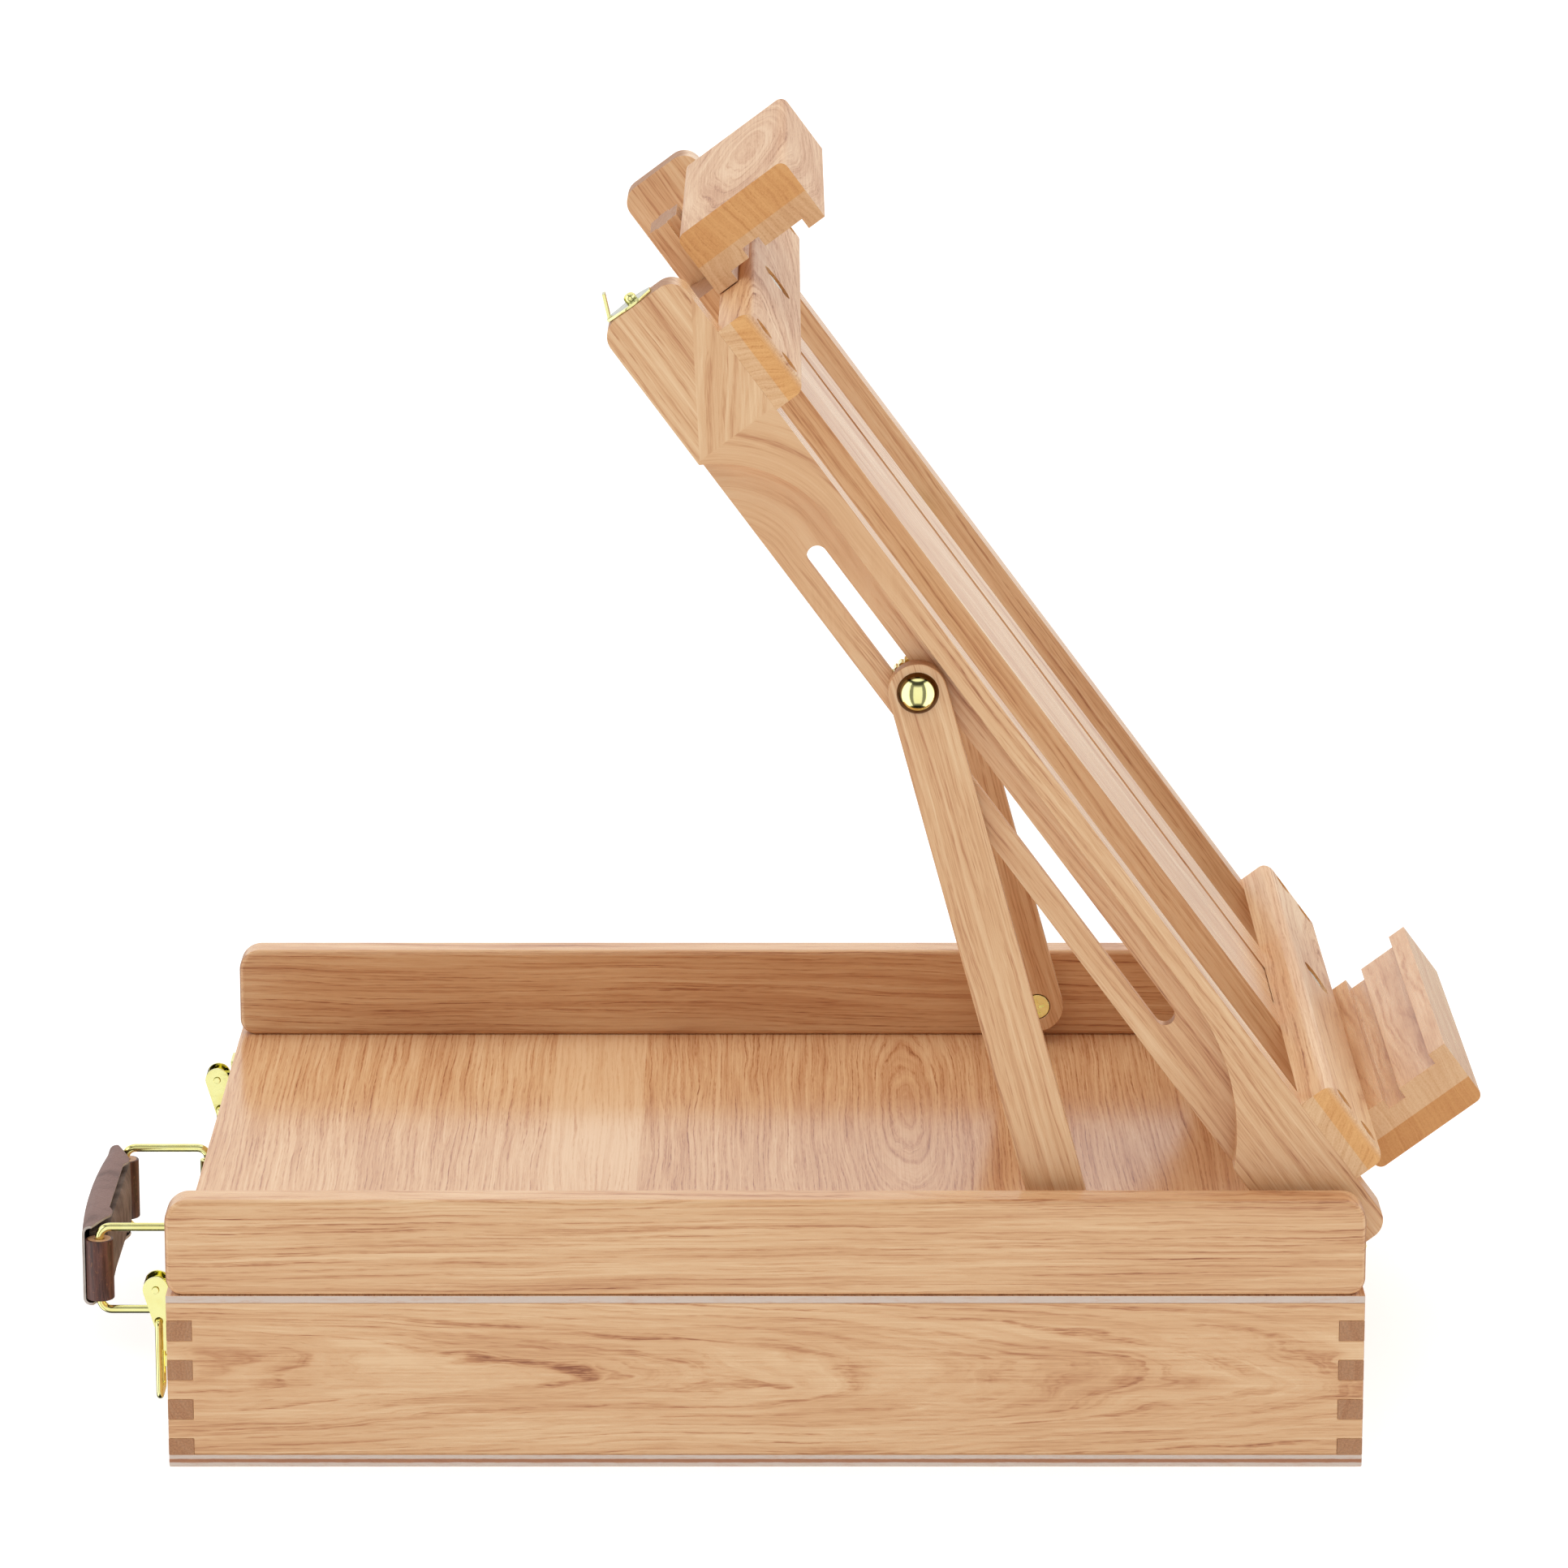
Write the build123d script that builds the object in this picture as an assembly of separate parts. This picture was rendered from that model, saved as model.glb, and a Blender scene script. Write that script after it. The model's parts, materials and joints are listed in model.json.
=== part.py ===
from build123d import *
import os
from math import asin, cos, degrees, radians, sin

# A pochade box: a finger-jointed wooden sketch box whose lid carries a folding table easel.
# Millimetres. The origin is the centre of the box's underside, +X faces the artist, +Z is up.
# The easel's pieces are drawn folded flat on the lid, then raised about their pivots.

# Box
BOX_LENGTH = 410.0
BOX_WIDTH = 340.0
BOTTOM_THICK = 4.5
WALL_HEIGHT = 54.6
WALL_THICK = 8.6
FINGER_HEIGHT = 7.07
TOP_FINGER_HEIGHT = 6.54
DIVIDER_THICK = 5.0
DIVIDER_HEIGHT = 38.0
BRUSH_TRAY_WIDTH = 96.0
TUBE_TRAY_LENGTH = 150.0

# Lid
LID_THICK = 2.5
CHEEK_THICK = 14.0
CHEEK_HEIGHT = 33.9
CHEEK_TOP_CORNER = 8.0
CHEEK_BOTTOM_CORNER = 6.0
CHEEK_ROUND = 2.0

# Lid hinges
HINGE_WIDTH = 40.0
HINGE_INSET = 78.0
HINGE_LEAF = 1.0
HINGE_LEAF_LENGTH = 17.0
HINGE_BARREL_RADIUS = 2.3
HINGE_PIN_RADIUS = 1.2
HINGE_STANDOFF = 3.0
HINGE_DROP = 0.6
HINGE_SCREW_SPREAD = 24.0
HINGE_SCREW_PLACE = 0.6

# Easel frame
EASEL_ANGLE = 53.4
BOARD_DEPTH = 32.0
BOARD_THICK = 15.0
BOARD_CORNER = 7.0
PLATE_THICK = 5.2
RAIL_THICK = 7.8
RECESS_TOP = 96.4
RECESS_TOP_RADIUS = 46.0
RECESS_BOTTOM = 106.9
RECESS_BOTTOM_RADIUS = 84.0
SLOT_WIDTH = 7.0
SLOT_TOP = 102.4
SLOT_BOTTOM = 100.7
SLOT_OFFSET = 3.9
PIVOT_INSET = 7.5
PIVOT_LIFT = 16.9
PIVOT_RADIUS = 3.0
PIVOT_HEAD_RADIUS = 5.5
PIVOT_HEAD_HEIGHT = 2.3
PIVOT_GRIP = 10.0
SPACER_WALL = 3.5
SIDE_GAP = 2.5

# Crossbars, guides and mast
BAR_HEIGHT = 32.8
BAR_THICK = 12.3
BAR_ROUND = 4.0
UPPER_BAR_TOP = 23.5
LOWER_BAR_INSET = 53.3
BAR_SCREW_SPREAD = 14.0
BAR_SCREW_BORE = 8.5
BAR_SCREW_HEAD = 7.2
BAR_SCREW_SHANK = 3.6
BAR_SCREW_SINK = 5.0
BAR_SCREW_HEAD_HEIGHT = 2.5
BAR_SCREW_LENGTH = 24.0
BOLT_BORE = 14.5
BOLT_HEAD_RADIUS = 6.4
BOLT_SHANK_RADIUS = 3.0
BOLT_SINK = 5.5
BOLT_DOME = 4.9
BOLT_PLACES = (-18.0, 31.0)
BACK_SCREW_SINK = 3.0
GUIDE_SCREW_PLACE = 0.7
GUIDE_WIDTH = 30.2
GUIDE_INNER = 24.3
GUIDE_THICK = 14.0
MAST_STRIP_WIDTH = 42.6
MAST_STRIP_THICK = 2.2
MAST_STRIP_INSET = 6.0
MAST_CORE_WIDTH = 24.0
TONGUE_WIDTH = 30.0
TONGUE_THICK = 4.4
TONGUE_DEPTH = 6.2
MAST_GAP = 0.3

# Canvas clamp and canvas tray
HOLDER_WIDTH = 160.0
HOLDER_DEPTH = 45.4
HOLDER_HEIGHT = 24.3
HOLDER_ROUND = 3.0
HOLDER_GAP = 0.4
NOTCH_STARTS = (8.3, 16.0, 23.0)
NOTCH_DEPTHS = (4.0, 8.0, 4.0)
NOTCH_END = 38.6
HOLDER_SCREW_SPREAD = 11.0
HOLDER_SCREW_LENGTH = 30.0

# Support arms
ARM_LENGTH = 199.3
ARM_WIDTH = 20.0
ARM_THICK = 7.0
ARM_REACH = 93.2
ARM_DROP = 2.1
ARM_CLEAR = 0.3
ARM_SCREW_RADIUS = 2.5
ARM_SCREW_HEAD_RADIUS = 4.65
ARM_SCREW_HEAD_HEIGHT = 2.0
ARM_SCREW_GRIP = 8.0
CROSS_LENGTH = 5.6
CROSS_WIDTH = 1.1
KNOB_RADIUS = 7.16
KNOB_HEIGHT = 4.6
KNOB_SHANK_RADIUS = 3.0
NUT_RADIUS = 9.4
NUT_HEIGHT = 6.0
NUT_TEETH = 24
NUT_TOOTH_RADIUS = 0.6

# Corner hook on the top end of the left side board
HOOK_WIDTH = 13.6
HOOK_NECK = 5.0
HOOK_SHOULDER = 2.5
HOOK_CORNER = 4.0
HOOK_THICK = 1.0
HOOK_DROP = 1.5
HOOK_BACK = 10.4
HOOK_FRONT = 7.2
HOOK_ARM = 9.7
HOOK_ARM_LEAN = 23.7
HOOK_SCREW_RADIUS = 1.3
HOOK_HEAD_RADIUS = 2.1
HOOK_HEAD_HEIGHT = 2.8
HOOK_SCREW_LENGTH = 14.0

# Carrying handle
HANDLE_SPREAD = 98.0
RING_LENGTH = 31.0
RING_HEIGHT = 31.0
RING_CORNER = 4.0
RING_WIRE_RADIUS = 1.5
RING_LOW = 17.2
RING_STANDOFF = 4.0
BRACKET_PLATE = 1.4
BRACKET_WIDTH = 26.0
BRACKET_HEIGHT = 22.0
BRACKET_BARREL_RADIUS = 3.0
BRACKET_SCREW_SPREAD = 18.0
GRIP_LOOP_RADIUS = 5.0
GRIP_HEIGHT = 22.4
GRIP_BULGE = 3.0
GRIP_INNER = 1.2

# Latches
LATCH_INSET = 40.0
LATCH_WIDTH = 12.0
LATCH_SHEET = 1.0
LATCH_TAB = 13.0
LATCH_LEG = 13.0
LATCH_PIVOT_DROP = 9.4
LATCH_PIVOT_OUT = 6.8
LATCH_PIN_RADIUS = 1.2
LEVER_WIDTH = 9.0
LEVER_HEAD_RADIUS = 4.5
LEVER_TIP_RADIUS = 1.3
LEVER_LENGTH = 21.0
LEVER_TIP_INSET = 3.0
BAIL_DROP = 11.4
BAIL_INSET = 0.9
BAIL_WIRE_RADIUS = 1.2
BAIL_LENGTH = 27.0
BAIL_WIDTH = 13.0
CATCH_TOP = 37.2
CATCH_HEIGHT = 20.4
CATCH_WIDTH = 9.0
CATCH_LIP = 9.0
CATCH_OUT = 4.2
LATCH_SCREW_SPREAD = 7.0
LATCH_SCREW_PLACE = 0.6
LATCH_SCREW_SINK = 0.5

# Small brass screws of the hinges, handle brackets, latch tabs and catches
SMALL_HEAD_RADIUS = 2.2
SMALL_HEAD_HEIGHT = 0.9
SMALL_SHANK_RADIUS = 1.0
SMALL_LENGTH = 6.0
SMALL_MARGIN = 0.5

# Running clearances
BORE_GAP = 0.1
LOOSE_GAP = 0.3

# Places that follow from the sizes
BOX_END = BOX_LENGTH / 2
BOX_SIDE = BOX_WIDTH / 2
WALL_TOP = BOTTOM_THICK + WALL_HEIGHT
LID_TOP = WALL_TOP + LID_THICK
CHEEK_INNER = BOX_SIDE - CHEEK_THICK
HINGE_Y = BOX_SIDE - HINGE_INSET
HINGE_X = BOX_END + HINGE_STANDOFF
HINGE_Z = LID_TOP - HINGE_DROP
PIVOT_X = BOX_END - PIVOT_INSET
PIVOT_Z = LID_TOP + PIVOT_LIFT
BOARD_BACK = PIVOT_Z - BOARD_DEPTH / 2
FRONT = BOARD_BACK + BOARD_DEPTH
BOARD_OUTER = CHEEK_INNER - SIDE_GAP
BOARD_INNER = BOARD_OUTER - BOARD_THICK
BOARD_MIDDLE = (BOARD_OUTER + BOARD_INNER) / 2
PLATE_OUTER = BOARD_INNER + PLATE_THICK
RAIL_BACK = FRONT - RAIL_THICK
SLOT_Z = PIVOT_Z - SLOT_OFFSET
ARM_X = PIVOT_X - ARM_REACH
ARM_Z = PIVOT_Z - ARM_DROP
ARM_INNER = PLATE_OUTER + ARM_CLEAR
ARM_OUTER = ARM_INNER + ARM_THICK
MAST_FRONT = FRONT - MAST_GAP
MAST_BACK = FRONT - GUIDE_THICK
STRIP_BACK = MAST_FRONT - MAST_STRIP_THICK
LOWER_BAR_TOP = BOX_LENGTH - LOWER_BAR_INSET
CLAMP_BOTTOM = UPPER_BAR_TOP - HOLDER_GAP - BOX_END
TRAY_TOP = LOWER_BAR_TOP + BAR_HEIGHT - BOX_END
RING_X = -BOX_END - RING_STANDOFF
GRIP_X = RING_X - RING_LENGTH
RING_MIDDLE = RING_LOW + RING_HEIGHT / 2
LEVER_X = -BOX_END - LATCH_PIVOT_OUT
LEVER_Z = LID_TOP - LATCH_PIVOT_DROP
LATCH_Y = BOX_SIDE - LATCH_INSET
TAB_LOW = WALL_TOP + BORE_GAP
TAB_HIGH = TAB_LOW + LATCH_SHEET
BAIL_X = LEVER_X + BAIL_INSET
BAIL_Z = LEVER_Z - BAIL_DROP

# The arm stands where its upper bolt lies on the slot's centre line
EASEL_RISE = ARM_REACH * sin(radians(EASEL_ANGLE)) + ARM_DROP * cos(radians(EASEL_ANGLE))
ARM_ANGLE = EASEL_ANGLE + degrees(asin((EASEL_RISE - SLOT_OFFSET) / ARM_LENGTH))


def block(x_range, y_range, z_range):
    """A rectangular block between two values on each axis."""
    middles = [(low + high) / 2 for low, high in (x_range, y_range, z_range)]
    sizes = [abs(high - low) for low, high in (x_range, y_range, z_range)]
    return Pos(*middles) * Box(*sizes)


def rod(start, end, radius):
    """A round rod between two points."""
    axis = Vector(end) - Vector(start)
    place = Plane(origin=start, z_dir=axis)
    return place * Cylinder(radius, axis.length, align=(Align.CENTER, Align.CENTER, Align.MIN))


def slab(outline, y_start, y_end):
    """An outline drawn in X and Z, extruded from one depth to another."""
    place = Plane(origin=(0, max(y_start, y_end), 0), x_dir=(1, 0, 0), z_dir=(0, -1, 0))
    return extrude(place * outline, amount=abs(y_end - y_start))


def screw(seat, direction, head_radius, head_height, shank_radius, length):
    """A pan-head screw whose head stands on its seat and whose shank runs along the direction."""
    seat = Vector(seat)
    direction = Vector(direction).normalized()
    head = rod(seat, seat - direction * head_height, head_radius)
    rim = head.edges().filter_by(GeomType.CIRCLE).sort_by(lambda edge: (edge.center() - seat).length)[-1]
    head = fillet(rim, head_height * 0.6)
    return head + rod(seat, seat + direction * length, shank_radius)


def small_screw(seat, direction, length=SMALL_LENGTH):
    """One of the small brass screws."""
    return screw(seat, direction, SMALL_HEAD_RADIUS, SMALL_HEAD_HEIGHT, SMALL_SHANK_RADIUS, length)


def mirrored(shape):
    """The right-hand twin of a left-hand piece."""
    return mirror(shape, about=Plane.XZ)


def raised(shape):
    """A piece of the folded easel, raised to its working angle about the frame pivot."""
    return shape.rotate(Axis((PIVOT_X, 0, PIVOT_Z), (0, 1, 0)), EASEL_ANGLE)


def save(name, *solids):
    """Write one sub-part."""
    shape = solids[0] if len(solids) == 1 else Compound(children=list(solids))
    export_step(shape, f"parts/{name}.step")


def save_pair(name, left, finish=lambda shape: shape):
    """Write a left-hand piece and its right-hand twin."""
    save(f"{name}_left", finish(left))
    save(f"{name}_right", finish(mirrored(left)))


# Box -------------------------------------------------------------------------------------

def wall_fingers(owner):
    """Height ranges of the fingers of the side walls (owner 0) or of the end walls (owner 1)."""
    top = WALL_TOP
    foot = WALL_TOP - TOP_FINGER_HEIGHT
    count = 0
    while top > BOTTOM_THICK:
        if count % 2 == owner:
            yield (max(foot, BOTTOM_THICK), top)
        top = foot
        foot -= FINGER_HEIGHT
        count += 1


def side_wall():
    """The left side wall, with slots at both ends for the end walls' fingers."""
    wall = block((-BOX_END, BOX_END), (-BOX_SIDE, -BOX_SIDE + WALL_THICK), (BOTTOM_THICK, WALL_TOP))
    for z_range in wall_fingers(1):
        for end in (-1, 1):
            x_range = (end * BOX_END, end * (BOX_END - WALL_THICK))
            wall -= block(x_range, (-BOX_SIDE, -BOX_SIDE + WALL_THICK), z_range)
    return wall


def end_wall(end):
    """One end wall, with slots at both ends for the side walls' fingers."""
    x_range = (end * BOX_END, end * (BOX_END - WALL_THICK))
    wall = block(x_range, (-BOX_SIDE, BOX_SIDE), (BOTTOM_THICK, WALL_TOP))
    for z_range in wall_fingers(0):
        for side in (-1, 1):
            wall -= block(x_range, (side * BOX_SIDE, side * (BOX_SIDE - WALL_THICK)), z_range)
    return wall


def box_dividers():
    """The long divider and the two short ones that make the tray's compartments."""
    inner_end = BOX_END - WALL_THICK
    inner_side = BOX_SIDE - WALL_THICK
    z_range = (BOTTOM_THICK, BOTTOM_THICK + DIVIDER_HEIGHT)
    long_y = inner_side - BRUSH_TRAY_WIDTH
    long_divider = block((-inner_end, inner_end), (long_y - DIVIDER_THICK, long_y), z_range)
    short_dividers = []
    for end in (-1, 1):
        near = end * (inner_end - TUBE_TRAY_LENGTH)
        x_range = (near, near - end * DIVIDER_THICK)
        short_dividers.append(block(x_range, (-inner_side, long_y - DIVIDER_THICK), z_range))
    return long_divider, short_dividers


# Lid and its hinges ------------------------------------------------------------------------

def cheek():
    """The left cheek on the lid, drilled for the frame's and the arm's pivots."""
    outline = Pos(0, LID_TOP + CHEEK_HEIGHT / 2) * Rectangle(BOX_LENGTH, CHEEK_HEIGHT)
    outline = fillet(outline.vertices().sort_by(Axis.Y)[:2], CHEEK_BOTTOM_CORNER)
    outline = fillet(outline.vertices().sort_by(Axis.Y)[-2:], CHEEK_TOP_CORNER)
    solid = slab(outline, -BOX_SIDE, -CHEEK_INNER)
    top_edges = solid.edges().group_by(Axis.Z)[-1].filter_by(Axis.X)
    solid = fillet(top_edges, CHEEK_ROUND)
    solid -= rod((PIVOT_X, -CHEEK_INNER, PIVOT_Z), (PIVOT_X, -CHEEK_INNER - PIVOT_GRIP, PIVOT_Z),
                 PIVOT_RADIUS + BORE_GAP)
    solid -= rod((ARM_X, -CHEEK_INNER, ARM_Z), (ARM_X, -CHEEK_INNER - ARM_SCREW_GRIP, ARM_Z),
                 ARM_SCREW_RADIUS + BORE_GAP)
    return solid


def hinge_screws(side, on_wall):
    """Two screws of one hinge leaf, seated on the leaf's face."""
    down_leaf = HINGE_LEAF_LENGTH * HINGE_SCREW_PLACE
    for offset in (-HINGE_SCREW_SPREAD / 2, HINGE_SCREW_SPREAD / 2):
        y = side * HINGE_Y + offset
        if on_wall:
            seat = (BOX_END + HINGE_LEAF, y, HINGE_Z - down_leaf)
            yield small_screw(seat, (-1, 0, 0))
        else:
            seat = (BOX_END - down_leaf, y, LID_TOP + HINGE_LEAF)
            yield small_screw(seat, (0, 0, -1), HINGE_LEAF + LID_THICK - LOOSE_GAP)


def hinge_knuckle(y_range):
    """One stretch of a hinge barrel, still solid."""
    start = (HINGE_X, y_range[0], HINGE_Z)
    end = (HINGE_X, y_range[1], HINGE_Z)
    return rod(start, end, HINGE_BARREL_RADIUS)


def hinge_pin_at(side, radius):
    """The hinge pin's rod, at the pin's radius or at the bore's."""
    middle = side * HINGE_Y
    start = (HINGE_X, middle - HINGE_WIDTH / 2, HINGE_Z)
    return rod(start, (HINGE_X, middle + HINGE_WIDTH / 2, HINGE_Z), radius)


def hinge_wall_leaf(side):
    """The leaf on the front end wall, with the middle knuckle."""
    middle = side * HINGE_Y
    leaf = block((BOX_END, BOX_END + HINGE_LEAF), (middle - HINGE_WIDTH / 2, middle + HINGE_WIDTH / 2),
                 (HINGE_Z - HINGE_LEAF_LENGTH, WALL_TOP - LOOSE_GAP))
    y_range = (middle - HINGE_WIDTH / 6, middle + HINGE_WIDTH / 6)
    leaf += block((BOX_END, HINGE_X), y_range, (WALL_TOP - HINGE_LEAF, HINGE_Z))
    leaf += hinge_knuckle(y_range)
    for fastener in hinge_screws(side, True):
        leaf -= fastener
    return leaf - hinge_pin_at(side, HINGE_PIN_RADIUS + BORE_GAP)


def hinge_lid_leaf(side):
    """The leaf on the lid, with the two outer knuckles."""
    middle = side * HINGE_Y
    half = HINGE_WIDTH / 2
    z_range = (LID_TOP, LID_TOP + HINGE_LEAF)
    leaf = block((BOX_END - HINGE_LEAF_LENGTH, BOX_END), (middle - half, middle + half), z_range)
    inner = HINGE_WIDTH / 6 + LOOSE_GAP
    for y_range in ((middle - half, middle - inner), (middle + inner, middle + half)):
        leaf += block((BOX_END, HINGE_X), y_range, z_range) + hinge_knuckle(y_range)
    for fastener in hinge_screws(side, False):
        leaf -= fastener
    return leaf - hinge_pin_at(side, HINGE_PIN_RADIUS + BORE_GAP)


# Easel frame, drawn folded flat ---------------------------------------------------------------

def bar_rows():
    """Middle X of the upper and of the lower crossbar."""
    return [top + BAR_HEIGHT / 2 - BOX_END for top in (UPPER_BAR_TOP, LOWER_BAR_TOP)]


def bar_screws():
    """Four sunk screws through each crossbar into the side boards."""
    seat_z = FRONT + BAR_THICK - BAR_SCREW_SINK
    for row in bar_rows():
        for y in (-BOARD_MIDDLE, BOARD_MIDDLE):
            for offset in (-BAR_SCREW_SPREAD / 2, BAR_SCREW_SPREAD / 2):
                yield screw((row + offset, y, seat_z), (0, 0, -1), BAR_SCREW_HEAD / 2,
                            BAR_SCREW_HEAD_HEIGHT, BAR_SCREW_SHANK / 2, BAR_SCREW_LENGTH)


def centre_bolts():
    """The domed steel bolt near the middle of each crossbar: on the mast, and into one guide."""
    seat_z = FRONT + BAR_THICK - BOLT_SINK
    for row, y in zip(bar_rows(), BOLT_PLACES):
        yield screw((row, y, seat_z), (0, 0, -1), BOLT_HEAD_RADIUS, BOLT_DOME,
                    BOLT_SHANK_RADIUS, seat_z - FRONT)


def side_board():
    """The left side board: a routed recess for the arm, open at the back, over a slotted plate."""
    outline = Pos(0, BOARD_BACK + BOARD_DEPTH / 2) * RectangleRounded(BOX_LENGTH, BOARD_DEPTH, BOARD_CORNER)
    board = slab(outline, -BOARD_OUTER, -BOARD_INNER)

    recess_start = RECESS_TOP - BOX_END
    recess_end = BOX_END - RECESS_BOTTOM
    depth = RAIL_BACK - BOARD_BACK
    band = Pos(0, RAIL_BACK - depth / 2 - BOARD_CORNER / 2) * Rectangle(BOX_LENGTH, depth + BOARD_CORNER)
    middle = (recess_start + recess_end) / 2
    recess = Pos(middle, RAIL_BACK - depth / 2) * Rectangle(recess_end - recess_start, 2 * depth)
    recess += Pos(recess_start, RAIL_BACK - RECESS_TOP_RADIUS) * Circle(RECESS_TOP_RADIUS)
    recess += Pos(recess_end, RAIL_BACK - RECESS_BOTTOM_RADIUS) * Circle(RECESS_BOTTOM_RADIUS)
    board -= slab(recess & band, -BOARD_OUTER, -PLATE_OUTER)

    slot_start = SLOT_TOP - BOX_END
    slot_end = BOX_END - SLOT_BOTTOM
    slot = Pos((slot_start + slot_end) / 2, SLOT_Z) * SlotOverall(slot_end - slot_start, SLOT_WIDTH)
    board -= slab(slot, -BOARD_OUTER, -BOARD_INNER)
    board -= rod((PIVOT_X, -BOARD_OUTER, PIVOT_Z), (PIVOT_X, -BOARD_INNER, PIVOT_Z),
                 PIVOT_RADIUS + BORE_GAP)
    for fastener in bar_screws():
        board -= fastener
    return board


def crossbar(top, bolt_y):
    """A full-width crossbar with round front edges, sunk screw holes and one bolt hole."""
    start = top - BOX_END
    bar = block((start, start + BAR_HEIGHT), (-BOARD_OUTER, BOARD_OUTER), (FRONT, FRONT + BAR_THICK))
    bar = fillet(bar.faces().sort_by(Axis.Z)[-1].edges(), BAR_ROUND)
    front_z = FRONT + BAR_THICK
    for y in (-BOARD_MIDDLE, BOARD_MIDDLE):
        for offset in (-BAR_SCREW_SPREAD / 2, BAR_SCREW_SPREAD / 2):
            x = start + BAR_HEIGHT / 2 + offset
            bar -= rod((x, y, front_z - BAR_SCREW_SINK), (x, y, front_z), BAR_SCREW_BORE / 2)
            bar -= rod((x, y, FRONT), (x, y, front_z), BAR_SCREW_SHANK / 2)
    x = start + BAR_HEIGHT / 2
    bar -= rod((x, bolt_y, front_z - BOLT_SINK), (x, bolt_y, front_z), BOLT_BORE / 2)
    bar -= rod((x, bolt_y, FRONT), (x, bolt_y, front_z), BOLT_SHANK_RADIUS)
    for fastener in guide_screws():
        bar -= fastener
    return bar


def back_screw(row, y, length):
    """A screw from the back whose head lies below the surface."""
    return screw((row, y, MAST_BACK + BACK_SCREW_SINK), (0, 0, 1), BAR_SCREW_HEAD / 2,
                 BAR_SCREW_HEAD_HEIGHT, BAR_SCREW_SHANK / 2, length - BACK_SCREW_SINK)


def back_bore(row, y):
    """The hole that the head of one screw from the back lies in."""
    return rod((row, y, MAST_BACK), (row, y, MAST_BACK + BACK_SCREW_SINK), BAR_SCREW_BORE / 2)


def guide_screws():
    """Screws from the back: one through each guide into each crossbar and into the tray."""
    rows = bar_rows() + [TRAY_TOP + HOLDER_HEIGHT / 2]
    for row in rows:
        for side in (-1, 1):
            y = side * (GUIDE_INNER + GUIDE_WIDTH * GUIDE_SCREW_PLACE)
            yield back_screw(row, y, BAR_SCREW_LENGTH)


def guide():
    """The left guide: a strip whose inner edge is grooved for the mast's tongue."""
    groove = TONGUE_WIDTH / 2 + MAST_GAP
    lip = MAST_CORE_WIDTH / 2 + MAST_GAP
    tongue_top = MAST_FRONT - TONGUE_DEPTH + MAST_GAP
    tongue_bottom = tongue_top - TONGUE_THICK - 2 * MAST_GAP
    start = UPPER_BAR_TOP - BOX_END
    x_range = (start, BOX_END)
    outer = GUIDE_INNER + GUIDE_WIDTH
    shape = block(x_range, (-outer, -GUIDE_INNER), (MAST_BACK, FRONT))
    shape += block(x_range, (-outer, -lip), (MAST_BACK, STRIP_BACK - MAST_GAP))
    shape -= block(x_range, (-groove, 0), (tongue_bottom, tongue_top))
    for fastener in guide_screws():
        shape -= fastener
    for row in bar_rows() + [TRAY_TOP + HOLDER_HEIGHT / 2]:
        shape -= back_bore(row, -GUIDE_INNER - GUIDE_WIDTH * GUIDE_SCREW_PLACE)
    return shape


def mast_slider():
    """The sliding mast: a core with a tongue on each side and a thin front strip."""
    x_range = (-BOX_END, BOX_END)
    half_core = MAST_CORE_WIDTH / 2
    half_tongue = TONGUE_WIDTH / 2
    half_strip = MAST_STRIP_WIDTH / 2
    tongue_top = MAST_FRONT - TONGUE_DEPTH
    mast = block(x_range, (-half_core, half_core), (MAST_BACK, STRIP_BACK))
    mast += block(x_range, (-half_tongue, half_tongue), (tongue_top - TONGUE_THICK, tongue_top))
    mast += block((MAST_STRIP_INSET - BOX_END, BOX_END), (-half_strip, half_strip), (STRIP_BACK, MAST_FRONT))
    for fastener in clamp_screws():
        mast -= fastener
    for y in (-HOLDER_SCREW_SPREAD / 2, HOLDER_SCREW_SPREAD / 2):
        mast -= back_bore(CLAMP_BOTTOM - HOLDER_HEIGHT / 2, y)
    return mast


def holder(start, back, legs_to_start):
    """A stepped bar that grips a canvas edge; its legs point to the start or away from it."""
    outline = Rectangle(HOLDER_HEIGHT, HOLDER_DEPTH, align=(Align.MIN, Align.MIN))
    outline = fillet(outline.vertices().sort_by(Axis.X)[:2], HOLDER_ROUND)
    for low, high, depth in zip(NOTCH_STARTS, NOTCH_STARTS[1:] + (NOTCH_END,), NOTCH_DEPTHS):
        notch = Rectangle(depth, high - low, align=(Align.MAX, Align.MIN))
        outline -= Pos(HOLDER_HEIGHT, low) * notch
    if legs_to_start:
        outline = Pos(start + HOLDER_HEIGHT, back) * mirror(outline, about=Plane.YZ)
    else:
        outline = Pos(start, back) * outline
    return slab(outline, -HOLDER_WIDTH / 2, HOLDER_WIDTH / 2)


def clamp_screws():
    """Two screws from the back through the mast into the canvas clamp."""
    row = CLAMP_BOTTOM - HOLDER_HEIGHT / 2
    for y in (-HOLDER_SCREW_SPREAD / 2, HOLDER_SCREW_SPREAD / 2):
        yield back_screw(row, y, HOLDER_SCREW_LENGTH)


def canvas_clamp():
    """The upper canvas holder, carried by the mast."""
    clamp = holder(CLAMP_BOTTOM - HOLDER_HEIGHT, MAST_FRONT, False)
    for fastener in clamp_screws():
        clamp -= fastener
    return clamp


def canvas_tray():
    """The lower canvas holder, fixed to the guides below the lower crossbar."""
    tray = holder(TRAY_TOP, FRONT, True)
    for fastener in guide_screws():
        tray -= fastener
    return tray


def hook_place():
    """Middle of the hook's screw on the left board's top end."""
    return Vector(-BOX_END, -BOARD_MIDDLE, PIVOT_Z - HOOK_DROP)


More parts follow.
